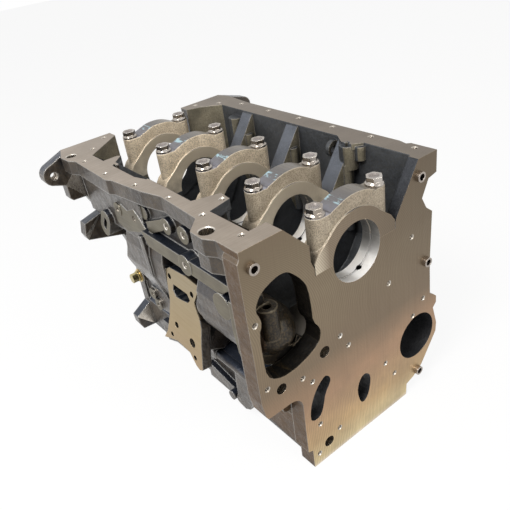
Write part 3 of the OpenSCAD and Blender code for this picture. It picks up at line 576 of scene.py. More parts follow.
OUTER_CAST = CastFinish(
    "outer_cast", metallic=0.5, edge_mm=3.0, dark=(0.029, 0.021, 0.0145), light=(0.08, 0.06, 0.04),
    sheen_tint=(0.03, 0.031, 0.034), upward_sky_reflection=(0.026, 0.033, 0.05), blotch_mm=26.0, wave_depth_mm=1.6,
    rough=(0.3, 0.5), oil=0.48, oil_rough=0.07, specular=0.25,
    recess_shade_share=0.88, recess_mm=26.0, recess_shade_tint=(0.006, 0.008, 0.013),
    edge_highlight_share=0.6, edge_highlight_tint=(0.50, 0.48, 0.45),
)
# Near black inside the side chamber: painted shade, with painted edge highlights.
CHAMBER_PAINTED_SHADE = CastFinish(
    "chamber_painted_shade", metallic=0.3, edge_mm=2.5, dark=(0.005, 0.0045, 0.004), light=(0.013, 0.011, 0.009),
    sheen_tint=(0.034, 0.027, 0.018), grain_mm=1.6, blotch_mm=25.0, oil=0.2, specular=0.2,
    recess_shade_share=0.9, recess_mm=40.0, recess_shade_tint=(0.002, 0.002, 0.002),
    edge_highlight_share=0.3, edge_highlight_tint=(0.30, 0.23, 0.14),
)
# Near-black casting inside the timing opening: painted shade, with tan painted edge highlights.
BODY_PAINTED_SHADE = CastFinish(
    "opening_body_painted_shade", metallic=0.35, edge_mm=4.0,
    dark=(0.005, 0.0038, 0.0025), light=(0.018, 0.013, 0.0075),
    sheen_tint=(0.08, 0.056, 0.027), grain_mm=1.4, speckle=0.55, blotch_mm=22.0, oil=0.15, oil_rough=0.15,
    specular=0.25, recess_shade_share=0.9, recess_shade_tint=(0.003, 0.002, 0.002), recess_mm=25.0, edge_highlight_share=0.5,
    edge_highlight_tint=(0.42, 0.35, 0.24),
)
# Near black inside the coolant slots and pump bore: painted shade.
COOLANT_WAY_SHADE = CastFinish(
    "coolant_way_painted_shade", metallic=0.2, edge_mm=1.0, dark=(0.008, 0.008, 0.009), light=(0.02, 0.021, 0.023),
    sheen_tint=(0.03, 0.03, 0.034), oil=0.1,
)
INNER_CAST = CastFinish(
    "inner_cast", metallic=0.35, edge_mm=2.5, dark=(0.026, 0.028, 0.031), light=(0.066, 0.068, 0.07),
    sheen_tint=(0.066, 0.074, 0.088), grain_depth_mm=0.15, oil=0.15,
    recess_shade_share=0.7, recess_shade_tint=(0.006, 0.007, 0.01),
)
# A darker copy of the inner cast for the slopes in the plate windows: painted shade.
WINDOW_PAINTED_SHADE = replace(
    INNER_CAST, name="plate_window_painted_shade", dark=(0.014, 0.015, 0.018), light=(0.035, 0.037, 0.042),
    sheen_tint=(0.05, 0.053, 0.06), specular=0.2, oil=0.0,
)
CAP_CAST = CastFinish(
    "cap_cast", metallic=0.5, edge_mm=2.6, dark=(0.42, 0.35, 0.255), light=(0.60, 0.51, 0.385),
    sheen_tint=(0.15, 0.12, 0.087), grain_mm=0.9, grain_depth_mm=0.45, wave_depth_mm=0.6, oil=0.0,
    speckle=0.6, rough=(0.4, 0.55), blotch_mm=20.0, recess_shade_share=0.6, recess_mm=14.0,
    recess_shade_tint=(0.06, 0.048, 0.034), edge_highlight_share=0.4, edge_highlight_tint=(0.80, 0.72, 0.59),
)
SLOPE_CAST = CastFinish(
    "bulkhead_top", metallic=0.6, edge_mm=1.2, dark=(0.06, 0.065, 0.075), light=(0.11, 0.118, 0.135),
    sheen_tint=(0.12, 0.13, 0.16), grain_depth_mm=0.05, wave_depth_mm=0.4, oil=0.1, rough=(0.4, 0.5),
)
PLATE_CAST = replace(
    OUTER_CAST, name="plate_cast", dark=(0.066, 0.038, 0.019), light=(0.114, 0.068, 0.034),
    sheen_tint=(0.06, 0.038, 0.021), upward_sky_reflection=(0.11, 0.085, 0.062), oil=0.05, recess_shade_share=0.5,
)
# A lit copy of cast iron for walls in the bays that look forward: painted light.
BAY_PAINTED_LIT = CastFinish(
    "bay_front_painted_lit", metallic=0.2, edge_mm=2.0, dark=(0.07, 0.062, 0.042), light=(0.25, 0.22, 0.155),
    sheen_tint=(0.075, 0.066, 0.05), grain_mm=1.2, speckle=0.55, oil=0.0, recess_shade_share=0.7, edge_highlight_share=0.5,
)
RAIL_MILLED = MilledFinish(
    "rail_milled", tint=(0.33, 0.285, 0.235), stain=(0.25, 0.208, 0.165), step_axis=Axis.Y,
    stain_share=0.5, stain_mm=35.0,
    # Steps along Y are painted light: lighter on the near side, darker towards the far side.
    steps=(
        (-0.184, (0.48, 0.41, 0.34)), (-0.11, (0.38, 0.32, 0.262)), (0.04, (0.265, 0.222, 0.178)),
        (0.12, (0.152, 0.124, 0.097)), (0.184, (0.23, 0.195, 0.16)),
    ),
)
FRONT_MILLED = MilledFinish(
    "front_milled", along=Axis.Z, tint=(0.26, 0.20, 0.143), stain=(0.22, 0.165, 0.115), stain_share=0.5,
    # Steps up the face are painted light: a painted highlight along the bottom edge, then lighter and warmer
    # low down and darker towards the top.
    steps=(
        (0.0, (0.98, 0.85, 0.67)), (0.006, (0.80, 0.66, 0.38)), (0.04, (0.65, 0.45, 0.235)),
        (0.10, (0.55, 0.34, 0.208)), (0.16, (0.25, 0.187, 0.125)), (0.25, (0.275, 0.222, 0.15)),
        (0.36, (0.18, 0.146, 0.099)),
    ),
    arc_share=0.34, streak=0.08, far_shade=0.6,
)
DECK_MILLED = MilledFinish("deck_milled", tint=(0.40, 0.37, 0.33), stain=(0.33, 0.30, 0.26))
REAR_MILLED = MilledFinish("rear_milled", tint=(0.36, 0.31, 0.245), stain=(0.28, 0.235, 0.18))
PAD_MILLED = MilledFinish(
    "pad_milled", along=Axis.X, tint=(0.40, 0.31, 0.18), stain=(0.34, 0.255, 0.15), stain_share=0.6,
    steps=((0.09, (0.42, 0.30, 0.19)), (0.15, (0.43, 0.33, 0.185)), (0.22, (0.36, 0.30, 0.20))),
)
BOSS_MILLED = MilledFinish(
    "boss_milled", along=Axis.X, tint=(0.19, 0.168, 0.12), stain=(0.125, 0.108, 0.08), stain_mm=22.0,
    edge_mm=1.2, edge_highlight_share=0.6,
)
CAP_MILLED = MilledFinish(
    "cap_milled", along=Axis.Z, tint=(0.55, 0.48, 0.37), stain=(0.44, 0.38, 0.29), stain_mm=20.0, edge_mm=0.8,
)
FACET_MILLED = MilledFinish(
    "cap_facet", metallic=0.8, along=Axis.X, tint=(0.30, 0.31, 0.35), stain=(0.165, 0.152, 0.142),
    stain_mm=7.0, stain_share=0.7, rough=(0.25, 0.5), step_axis=Axis.Y,
    # The light lilac step at the near end is a painted highlight of reflected sky; the other steps run from
    # grey-blue to tan across the facet.
    steps=((-0.036, (0.46, 0.45, 0.50)), (-0.031, (0.24, 0.235, 0.27)), (-0.016, (0.175, 0.17, 0.175)),
           (-0.004, (0.145, 0.132, 0.118)), (0.012, (0.20, 0.172, 0.132)), (0.03, (0.26, 0.223, 0.168))),
    paint_band=(-0.020, -0.012),
)
CAP_FRONT = replace(
    FRONT_MILLED, name="cap_front_milled", step_axis=Axis.Y, stain_share=0.3,
    # Steps across the cap are painted light: lighter at the near leg, darker beyond it.
    steps=((-0.085, (0.72, 0.64, 0.50)), (-0.055, (0.74, 0.65, 0.505)), (-0.040, (0.30, 0.24, 0.175)),
           (0.085, (0.22, 0.178, 0.126))),
)
CAP_RING = replace(
    CAP_MILLED, name="cap_ring_milled", metallic=0.35, tint=(0.60, 0.52, 0.40), edge_mm=0.5,
    # Steps up the rings are painted light: lightest at the bottom, darker towards the crown.
    steps=((0.27, (0.99, 0.90, 0.73)), (0.288, (0.82, 0.72, 0.56)), (0.305, (0.50, 0.43, 0.33)),
           (0.326, (0.38, 0.325, 0.245))),
)
CYLINDER_HONED = MilledFinish(
    "cylinder_honed", tint=(0.5, 0.48, 0.45), stain=(0.4, 0.37, 0.33), stain_share=0.4,
    # Steps down the cylinders are painted shade: light near the deck, nearly black deep in the crank bay.
    steps=((0.0, (0.60, 0.58, 0.55)), (0.06, (0.40, 0.38, 0.35)), (0.13, (0.06, 0.056, 0.05))),
)
BORE_HONED = MilledFinish(
    "bore_honed", metallic=0.6, tint=(0.95, 0.93, 0.90), stain=(0.70, 0.66, 0.60),
    # Steps up the bore are painted light: a painted highlight low down, painted shade towards the top.
    steps=((0.234, (0.98, 0.97, 0.95)), (0.25, (0.86, 0.84, 0.82)), (0.264, (0.34, 0.33, 0.32)),
           (0.285, (0.13, 0.125, 0.12)), (0.306, (0.09, 0.085, 0.08))),
    rough=(0.28, 0.42), stain_mm=25.0, stain_share=0.4, line_mm=0.8, edge_mm=0.4,
)
DRILLED = SteelFinish(
    "drilled_iron", tint=(0.68, 0.64, 0.58), worn=(0.42, 0.37, 0.31), edge_mm=0.3, depth_mm=9.0,
)
BOLT_STEEL = SteelFinish(
    "bolt_bright_steel", metallic=0.95, tint=(0.49, 0.455, 0.42), worn=(0.29, 0.245, 0.2), edge_mm=0.8,
    patch_mm=30.0, rough=(0.14, 0.22), scratch_mm=0.002, edge_highlight_share=0.5,
)
BOLT_DISH = SteelFinish(
    "bolt_dished_top", metallic=0.6, tint=(0.29, 0.262, 0.25), worn=(0.235, 0.207, 0.19), edge_mm=0.4,
    scratch_mm=0.002,
)
DOWEL_STEEL = SteelFinish(
    "dowel_ground_steel", tint=(0.44, 0.39, 0.345), worn=(0.31, 0.27, 0.235), edge_mm=0.5, edge_highlight_share=0.3,
)
PLUG_STEEL = SteelFinish("plug_pressed_steel", tint=(0.45, 0.44, 0.42), worn=(0.3, 0.28, 0.25), edge_mm=0.8)
ZINC_YELLOW = SteelFinish("drain_zinc_yellow", tint=(0.62, 0.52, 0.24), worn=(0.42, 0.36, 0.22))
BRASS = SteelFinish("washer_brass", tint=(0.60, 0.42, 0.16), worn=(0.4, 0.28, 0.12), edge_mm=0.3)
THREAD_STEEL = SteelFinish("thread_cut_iron", tint=(0.56, 0.51, 0.45), worn=(0.36, 0.31, 0.26), edge_mm=0.1)


# ---- Measuring a node's mesh ----


@dataclass(frozen=True)
class Hole:
    """The round mouth of a hole in a flat face, and the radius of its wall."""

    centre: Point
    radius: float
    axis: Axis
    outward: float
    wall: float = 0.0

    def measure(self, points: np.ndarray) -> tuple[np.ndarray, np.ndarray]:
        """How deep points lie under the mouth, and how far off the hole's axis."""
        away = points - np.array(self.centre)
        return -away[:, self.axis.value] * self.outward, np.linalg.norm(away[:, self.axis.others], axis=1)


class FaceReader:
    """Reads where the flat faces of a CAD node are, and the round holes in them."""

    alongside = 0.02
    flat_tolerance = 0.05 * MM
    grid = 0.01 * MM
    facing = 0.999
    fewest_corners = 10
    smallest_span = 1 * MM
    uneven_span = 0.03
    uneven_radius = 0.02
    rim_play = 1.01
    under_mouth = 0.001 * MM

    def __init__(self, obj: bpy.types.Object) -> None:
        """Reads the corners, normals and centres of the node's mesh.

        Args:
            obj: The node's object.
        """
        mesh = obj.data
        count = len(mesh.polygons)
        self.normals = np.array([p.normal for p in mesh.polygons]).reshape(count, 3)
        self.centres = np.array([p.center for p in mesh.polygons]).reshape(count, 3)
        self.corners = np.array([v.co for v in mesh.vertices]).reshape(-1, 3)
        self.loops = [tuple(p.vertices) for p in mesh.polygons]

    def within(self, box: Box) -> np.ndarray:
        """Marks the polygons whose centres lie within a box."""
        return np.all((self.centres > np.array(box[0])) & (self.centres < np.array(box[1])), axis=1)

    def spans(self, axis: Axis, reach: tuple[float, float]) -> np.ndarray:
        """Marks the polygons whose centres lie between two levels of an axis."""
        return (self.centres[:, axis.value] > reach[0]) & (self.centres[:, axis.value] < reach[1])

    def off(self, axis: Axis, centre: tuple[float, float]) -> np.ndarray:
        """How far each polygon's centre lies from a line along an axis."""
        return np.linalg.norm(self.centres[:, axis.others] - np.array(centre), axis=1)

    def runs_along(self, axis: Axis) -> np.ndarray:
        """Marks the polygons that run along an axis."""
        return abs(self.normals[:, axis.value]) < self.alongside

    def on_plane(self, axis: Axis, level: float, outward: float) -> np.ndarray:
        """Marks the polygons that lie at a level of an axis and look up it (1) or down it (-1)."""
        facing = self.normals[:, axis.value] * outward > self.facing
        return facing & (abs(self.centres[:, axis.value] - level) < self.flat_tolerance)

    def round_mouths(self, axis: Axis, level: float, outward: float, largest: float) -> list[Hole]:
        """Finds the round holes that open in a flat face.

        Args:
            axis: The face's normal axis.
            level: Where the face lies, in metres.
            outward: 1 or -1, the way that the face looks.
            largest: Largest radius to look for, in metres.

        Returns:
            The holes, ordered by their centres.
        """
        edges: dict[tuple, None] = {}
        for index in np.flatnonzero(self.on_plane(axis, level, outward)):
            keys = [tuple(np.round(self.corners[v] / self.grid).astype(int)) for v in self.loops[index]]
            edges.update(dict.fromkeys(zip(keys, keys[1:] + keys[:1])))
        rim = {a: b for a, b in edges if (b, a) not in edges}
        holes = []
        while rim:
            start, follow = rim.popitem()
            ring = [start]
            while follow in rim:
                ring.append(follow)
                follow = rim.pop(follow)
            hole = self._fit(np.array(ring, float) * self.grid, axis, level, outward)
            if len(ring) > self.fewest_corners and hole is not None and hole.radius < largest:
                holes.append(hole)
        return sorted(holes, key=lambda h: h.centre)

    def _fit(self, points: np.ndarray, axis: Axis, level: float, outward: float) -> Hole | None:
        """Fits a circle to a rim.

        Args:
            points: The rim's corners.
            axis: The face's normal axis.
            level: Where the face lies, in metres.
            outward: 1 or -1, the way that the face looks.

        Returns:
            The hole, or None where the rim isn't round.
        """
        low, high = points.min(0), points.max(0)
        centre = (low + high) / 2
        spans = (high - low)[axis.others]
        radii = np.linalg.norm((points - centre)[:, axis.others], axis=1)
        if min(spans) < self.smallest_span or abs(spans[0] - spans[1]) > self.uneven_span * max(spans):
            return None
        if radii.std() > self.uneven_radius * radii.mean():
            return None
        centre[axis.value] = level
        return Hole(tuple(float(c) for c in centre), float(radii.mean()), axis, outward)

    def turned(self, degrees: float) -> "FaceReader":
        """The same faces, measured in a frame turned about X.

        Args:
            degrees: The turn.

        Returns:
            A reader of the turned frame.
        """
        turn = np.array(Matrix.Rotation(math.radians(degrees), 3, "X")).T
        made = copy.copy(self)
        for name in ("normals", "centres", "corners"):
            setattr(made, name, getattr(self, name) @ turn)
        return made

    def wall_radius(self, hole: Hole, deepest: float) -> float:
        """Measures a hole's wall under its countersunk mouth.

        Args:
            hole: The hole, as wide as its mouth.
            deepest: How deep the countersink may be, in metres.

        Returns:
            The wall's radius, or the mouth's where there is no countersink.
        """
        depth, off = hole.measure(self.corners)
        near = off[(off < hole.radius * self.rim_play) & (depth > self.grid) & (depth < deepest)]
        return float(near.min()) if len(near) else hole.radius

    def inside(self, holes: list[Hole], deepest: float) -> np.ndarray:
        """Marks the polygons of the holes' walls and ends.

        Args:
            holes: The holes.
            deepest: How deep to look, in metres.

        Returns:
            One True or False for each polygon.
        """
        found = np.zeros(len(self.loops), bool)
        for hole in holes:
            depth, off = hole.measure(self.centres)
            found |= (off < hole.radius * self.rim_play) & (depth > self.under_mouth) & (depth < deepest)
        return found


# ---- Dressing the CAD nodes ----


class Dresser:
    """Gives a CAD node its finishes, one for the whole node and others for marked faces."""

    def __init__(self, obj: bpy.types.Object, base: Finish) -> None:
        """Clears the node's slots and gives it its base finish.

        Args:
            obj: The node's object.
            base: The finish of every face that isn't marked.
        """
        self.obj = obj
        obj.data.materials.clear()
        obj.data.materials.append(base.material())
        self.indices = np.zeros(len(obj.data.polygons), np.int32)

    def mark(self, faces: np.ndarray, finish: Finish) -> None:
        """Gives marked faces a finish of their own."""
        self.obj.data.materials.append(finish.material())
        self.indices[faces] = len(self.obj.data.materials) - 1

    def apply(self) -> None:
        """Writes the faces' slots to the mesh."""
        self.obj.data.polygons.foreach_set("material_index", self.indices)
        self.obj.data.update()
        LOG.info("dressed %s with %d finishes", self.obj.name, len(self.obj.data.materials))


@dataclass
class BlockCasting:
    """The block: milled outside faces and bores, cast walls inside and out."""

    places: BlockPlaces
    node: bpy.types.Object
    holes: list[Hole] = field(default_factory=list)
    side_levels_mm: tuple[float, ...] = (-143.0, -139.5, -139.0, -138.0, -133.0, -132.0, -129.0, -120.0)
    far_level_mm: float = 129.0
    largest_tap: float = 10 * MM
    deepest_sink: float = 2.5 * MM
    tap_depth: float = 18.5 * MM
    crankcase: Box = ((-0.2005, -0.1185, 0.149), (0.1895, 0.1055, 0.3395))
    # Where forward-looking walls get the painted lit finish.
    lit_facing: float = 0.25
    lit_low: float = 0.262
    lit_far: float = 0.062
    lit_rear: float = -0.178
    slope_half: float = 15 * MM
    slope_low: float = 0.27
    slope_facing: tuple[float, float] = (0.3, 0.35)
    chamber: Box = ((0.05, -0.1275, 0.15), (0.2129, -0.055, 0.30))
    chamber_skin: float = -0.1235
    near_facing: float = -0.5
    body_axis: tuple[float, float] = (-0.1025, 0.204)
    body_reach: float = 33 * MM
    body_straight: float = 0.175
    body_facing: float = 0.05
    boss_axis: tuple[float, float] = (0.190, -0.112)
    boss_reach: float = 12.4 * MM
    boss_high: float = 0.25
    slots: Box = ((0.170, -0.094, 0.044), (0.2129, 0.014, 0.134))
    pump_axis: tuple[float, float] = (0.101, 0.091)
    pump_reach: float = 33.2 * MM
    pump_span: tuple[float, float] = (0.17, 0.2129)
    plate_low: float = 0.1885
    plate_windows: Box = ((0.1885, -0.118, 0.232), (0.2129, 0.12, 0.3395))
    window_rise: float = 0.1
    window_lean: float = 0.5
    low_front: Box = ((0.10, -0.101, 0.0), (0.1885, -0.06, 0.12))
    pad_tilt: float = 8.0
    pad_facing: float = 0.9995
    pad_reach: tuple[float, float] = (-0.026, 0.077)
    pad_skin: float = -0.105
    pad_depth: float = 13 * MM
    cylinder_play: float = 1 * MM
    bore_play: tuple[float, float] = (-1 * MM, 1.5 * MM)
    seal_wall: float = 14 * MM
    seal_span: tuple[float, float] = (0.01 * MM, 5.5 * MM)

    def dress(self) -> None:
        """Finds the faces and gives each group its finish."""
        read = FaceReader(self.node)
        self._find_holes(read)
        inside, chamber, pad = read.within(self.crankcase), self._chamber_walls(read), self._tilted_pad(read)
        p = self.places
        dresser = Dresser(self.node, OUTER_CAST)
        for faces, finish in (
            (inside, INNER_CAST),
            (inside & self._painted_lit(read), BAY_PAINTED_LIT),
            (inside & self._slopes(read), SLOPE_CAST),
            (self._plate_cast(read), PLATE_CAST),
            (self._window_slopes(read), WINDOW_PAINTED_SHADE),
            (chamber, CHAMBER_PAINTED_SHADE),
            (chamber & self._opening_body(read), BODY_PAINTED_SHADE),
            (self._water_ways(read), COOLANT_WAY_SHADE),
            (read.on_plane(Axis.Z, 0.0, -1), DECK_MILLED),
            (read.on_plane(Axis.Z, p.rail_z, 1), RAIL_MILLED),
            (read.on_plane(Axis.X, p.front_x, 1), FRONT_MILLED),
            (read.on_plane(Axis.X, p.rear_x, -1), REAR_MILLED),
            (pad, PAD_MILLED),
            (self._pad_holes(read, pad), DRILLED),
            (self._side_pads(read), BOSS_MILLED),
            (self._cylinder_walls(read), CYLINDER_HONED),
            (self._bores(read), BORE_HONED),
            (read.inside(self.holes, self.tap_depth), DRILLED),
        ):
            dresser.mark(faces, finish)
        dresser.apply()

    def _painted_lit(self, read: FaceReader) -> np.ndarray:
        """Marks the walls that look forward, high on the far side or at the rear, which get painted light."""
        far_or_rear = (read.centres[:, 1] > self.lit_far) | (read.centres[:, 0] < self.lit_rear)
        return far_or_rear & (read.normals[:, 0] > self.lit_facing) & (read.centres[:, 2] > self.lit_low)

    def _slopes(self, read: FaceReader) -> np.ndarray:
        """Marks the sloping tops of the bulkheads.

        Args:
            read: The block's reader.

        Returns:
            One True or False for each polygon.
        """
        off = np.min([abs(read.centres[:, 0] - x) for x in self.places.mains], axis=0)
        high = (off < self.slope_half) & (read.centres[:, 2] > self.slope_low)
        aside, up = abs(read.normals[:, 1]) > self.slope_facing[0], read.normals[:, 2] > self.slope_facing[1]
        return high & aside & up & read.runs_along(Axis.X)

    def _chamber_walls(self, read: FaceReader) -> np.ndarray:
        """Marks the inside of the side chamber behind the timing opening, which gets painted shade."""
        outside = (read.normals[:, 1] < self.near_facing) & (read.centres[:, 1] < self.chamber_skin)
        return read.within(self.chamber) & ~outside

    def _opening_body(self, read: FaceReader) -> np.ndarray:
        """Marks the rounded casting and its ring boss inside the timing opening, clear of the rim.

        Args:
            read: The block's reader.

        Returns:
            One True or False for each polygon.
        """
        clear = (read.centres[:, 0] < self.body_straight) | (read.normals[:, 0] > self.body_facing)
        body = clear & (read.off(Axis.X, self.body_axis) < self.body_reach)
        boss = read.off(Axis.Z, self.boss_axis) < self.boss_reach
        return body | (boss & (read.centres[:, 2] < self.boss_high))

    def _water_ways(self, read: FaceReader) -> np.ndarray:
        """Marks the insides of the coolant slots and the pump bore, which get painted shade."""
        pump = read.spans(Axis.X, self.pump_span) & (read.off(Axis.X, self.pump_axis) < self.pump_reach)
        return read.within(self.slots) | pump

    def _plate_cast(self, read: FaceReader) -> np.ndarray:
        """Marks the timing plate's cast rim on the near side, and the deck's face beside it."""
        rim = (read.centres[:, 0] > self.plate_low) & (read.centres[:, 1] < 0.0)
        return rim | (read.within(self.low_front) & (read.normals[:, 1] < self.near_facing))

    def _window_slopes(self, read: FaceReader) -> np.ndarray:
        """Marks the slopes inside the plate that lead into the crank bays, which get painted shade."""
        rising = (read.normals[:, 2] > self.window_rise) & (abs(read.normals[:, 0]) < self.window_lean)
        return read.within(self.plate_windows) & rising

    def _tilted_pad(self, read: FaceReader) -> np.ndarray:
        """Marks the tilted face of the filter pad."""
        facing = read.turned(self.pad_tilt).normals[:, 1] < -self.pad_facing
        return facing & (read.centres[:, 1] < self.pad_skin) & read.spans(Axis.X, self.pad_reach)

    def _pad_holes(self, read: FaceReader, pad: np.ndarray) -> np.ndarray:
        """Marks the walls of the screw holes in the filter pad.

        Args:
            read: The block's reader.
            pad: The pad's marked face.

        Returns:
            One True or False for each polygon.
        """
        square = read.turned(self.pad_tilt)
        level = float(np.median(square.centres[pad, 1]))
        found = square.round_mouths(Axis.Y, level, -1, self.largest_tap)
        LOG.info("filter pad has %d round holes", len(found))
        return square.inside(found, self.pad_depth)

    def _side_pads(self, read: FaceReader) -> np.ndarray:
        """Marks the milled pads and bosses of both long sides."""
        near = [read.on_plane(Axis.Y, level * MM, -1) for level in self.side_levels_mm]
        return np.any([*near, read.on_plane(Axis.Y, self.far_level_mm * MM, 1)], axis=0)

    def _cylinder_walls(self, read: FaceReader) -> np.ndarray:
        """Marks the walls of the cylinders."""
        offs = [abs(read.off(Axis.Z, (x, 0.0)) - self.places.cylinder_r) for x in self.places.cylinders]
        return read.runs_along(Axis.Z) & (np.min(offs, axis=0) < self.cylinder_play)

    def _bores(self, read: FaceReader) -> np.ndarray:
        """Marks the walls of the main bore and of the oil seal's seat.

        Args:
            read: The block's reader.

        Returns:
            One True or False for each polygon.
        """
        off = read.off(Axis.X, (0.0, self.places.crank_z)) - self.places.main_r
        wall = read.runs_along(Axis.X) & (off > self.bore_play[0]) & (off < self.bore_play[1])
        seat = read.spans(Axis.X, tuple(self.places.rear_x + depth for depth in self.seal_span))
        return wall | (seat & (off < self.seal_wall))

    def _find_holes(self, read: FaceReader) -> None:
        """Finds the tapped and drilled holes of the milled faces.

        Args:
            read: The block's reader.
        """
        p = self.places
        faces = [(Axis.X, p.front_x, 1), (Axis.Z, p.rail_z, 1), (Axis.X, p.rear_x, -1), (Axis.Z, 0.0, -1)]
        faces += [(Axis.Y, level * MM, -1) for level in self.side_levels_mm]
        faces += [(Axis.Y, self.far_level_mm * MM, 1)]
        for axis, level, outward in faces:
            found = read.round_mouths(axis, level, outward, self.largest_tap)
            LOG.info("face at %s %.1f mm has %d round holes", axis.name, level / MM, len(found))
            self.holes += [replace(hole, wall=read.wall_radius(hole, self.deepest_sink)) for hole in found]


@dataclass
class BearingCaps:
    """The main bearing caps with their bolts, the rear ones painted lighter than the front ones: painted
    light on copies of one cast skin.
    """

    places: BlockPlaces
    nodes: dict[str, bpy.types.Object]
    painted_lightness: tuple[float, ...] = (0.72, 0.95, 1.25, 1.55, 1.4)
    dish_reach: float = 6.6 * MM
    dish_depth: float = 3 * MM
    seat_reach: float = 55 * MM
    side_facing: float = 0.99
    crown_facing: float = 0.5
    facet_rise: float = 50 * MM
    bore_play: float = 1.5 * MM

    def dress(self) -> None:
        """Dresses every cap and bolt."""
        # Each cap gets a lighter or darker copy of the cast skin: painted light.
        for number, (x, share) in enumerate(zip(self.places.mains, self.painted_lightness), 1):
            self._dress_cap(self.nodes[f"main_cap_{number}"], x, CAP_CAST.painted_lighter(share))
        for number in range(1, 2 * len(self.places.mains) + 1):
            self._dress_bolt(self.nodes[f"main_bolt_{number}"])

    def _dress_bolt(self, node: bpy.types.Object) -> None:
        """Gives one bolt bright flanks and a darker dished top.

        Args:
            node: The bolt.
        """
        read = FaceReader(node)
        dresser = Dresser(node, BOLT_STEEL)
        low, high = read.corners.min(0), read.corners.max(0)
        off = read.off(Axis.Z, ((low[0] + high[0]) / 2, (low[1] + high[1]) / 2))
        dresser.mark((off < self.dish_reach) & (read.centres[:, 2] > high[2] - self.dish_depth), BOLT_DISH)
        dresser.apply()

    def _dress_cap(self, node: bpy.types.Object, x: float, skin: CastFinish) -> None:
        """Gives one cap its cast body, milled ring, facet and bore.

        Args:
            node: The cap.
            x: The cap's middle along the crankshaft.
            skin: The finish of its cast faces.
        """
        p = self.places
        read = FaceReader(node)
        dresser = Dresser(node, skin)
        n, c = read.normals, read.centres
        side, crown = self.side_facing, self.crown_facing
        front = read.on_plane(Axis.X, x + p.cap_half_length, 1)
        dresser.mark(front, CAP_FRONT if x == max(p.mains) else CAP_RING)
        dresser.mark(read.on_plane(Axis.X, x - p.cap_half_length, -1), CAP_RING)
        dresser.mark((abs(n[:, 1]) > side) & (abs(c[:, 1]) > self.seat_reach), CAP_MILLED)
        dresser.mark((n[:, 2] > crown) & (c[:, 2] > p.crank_z + self.facet_rise), FACET_MILLED)
        off = read.off(Axis.X, (0.0, p.crank_z))
        dresser.mark(read.runs_along(Axis.X) & (off < p.main_r + self.bore_play), BORE_HONED)
        dresser.apply()


@dataclass
class Hardware:
    """Dowels and plugs."""

    nodes: dict[str, bpy.types.Object]
    finishes: tuple[tuple[str, Finish], ...] = (
        ("_dowel_", DOWEL_STEEL), ("core_plug", PLUG_STEEL), ("gallery_plug", PLUG_STEEL),
        ("drain_plug", ZINC_YELLOW), ("drain_washer", BRASS),
    )

    def dress(self) -> None:
        """Gives each dowel and plug its finish by its name."""
        for name, node in self.nodes.items():
            for part, finish in self.finishes:
                if part in name:
                    Dresser(node, finish).apply()


# ---- Threads of the tapped holes ----


class GeometrySheet(NodeSheet):
    """A Geometry Nodes tree with named inputs."""

    def __init__(self, name: str, sizes: dict[str, float]) -> None:
        """Starts a tree that takes and gives a geometry.

        Args:
            name: The tree's name.
            sizes: Its number inputs, with their usual values.
        """
        super().__init__(bpy.data.node_groups.new(name, "GeometryNodeTree"))
        sockets = self.tree.interface
        sockets.new_socket("Geometry", in_out="INPUT", socket_type="NodeSocketGeometry")
        sockets.new_socket("Geometry", in_out="OUTPUT", socket_type="NodeSocketGeometry")
        for size, usual in sizes.items():
            sockets.new_socket(size, in_out="INPUT", socket_type="NodeSocketFloat").default_value = usual
        self.given = self.node("NodeGroupInput").outputs
        self.end = self.node("NodeGroupOutput")

    def attribute(self, name: str, kind: str) -> Socket:
        """Reads a named attribute of the points."""
        made = self.node("GeometryNodeInputNamedAttribute", {"Name": name}, data_type=kind)
        return made.outputs["Attribute"]

    def run(self, obj: bpy.types.Object, values: dict[str, float], name: str) -> bpy.types.Object:
        """Runs the tree on an object and keeps the result as a plain mesh.

        Args:
            obj: The object that holds the points.
            values: The tree's inputs by name.
            name: Name of the new piece.

        Returns:
            The piece.
        """
        modifier = obj.modifiers.new("shape", "NODES")
        modifier.node_group = self.tree
        for item in self.tree.interface.items_tree:
            if item.item_type == "SOCKET" and item.in_out == "INPUT" and item.name in values:
                modifier[item.identifier] = values[item.name]
        bpy.context.view_layer.update()
        graph = bpy.context.evaluated_depsgraph_get()
        mesh = bpy.data.meshes.new_from_object(obj.evaluated_get(graph))
        obj.modifiers.remove(modifier)
        bpy.data.objects.remove(obj)
        mesh.name = name
        return put_in_scene(name, mesh)


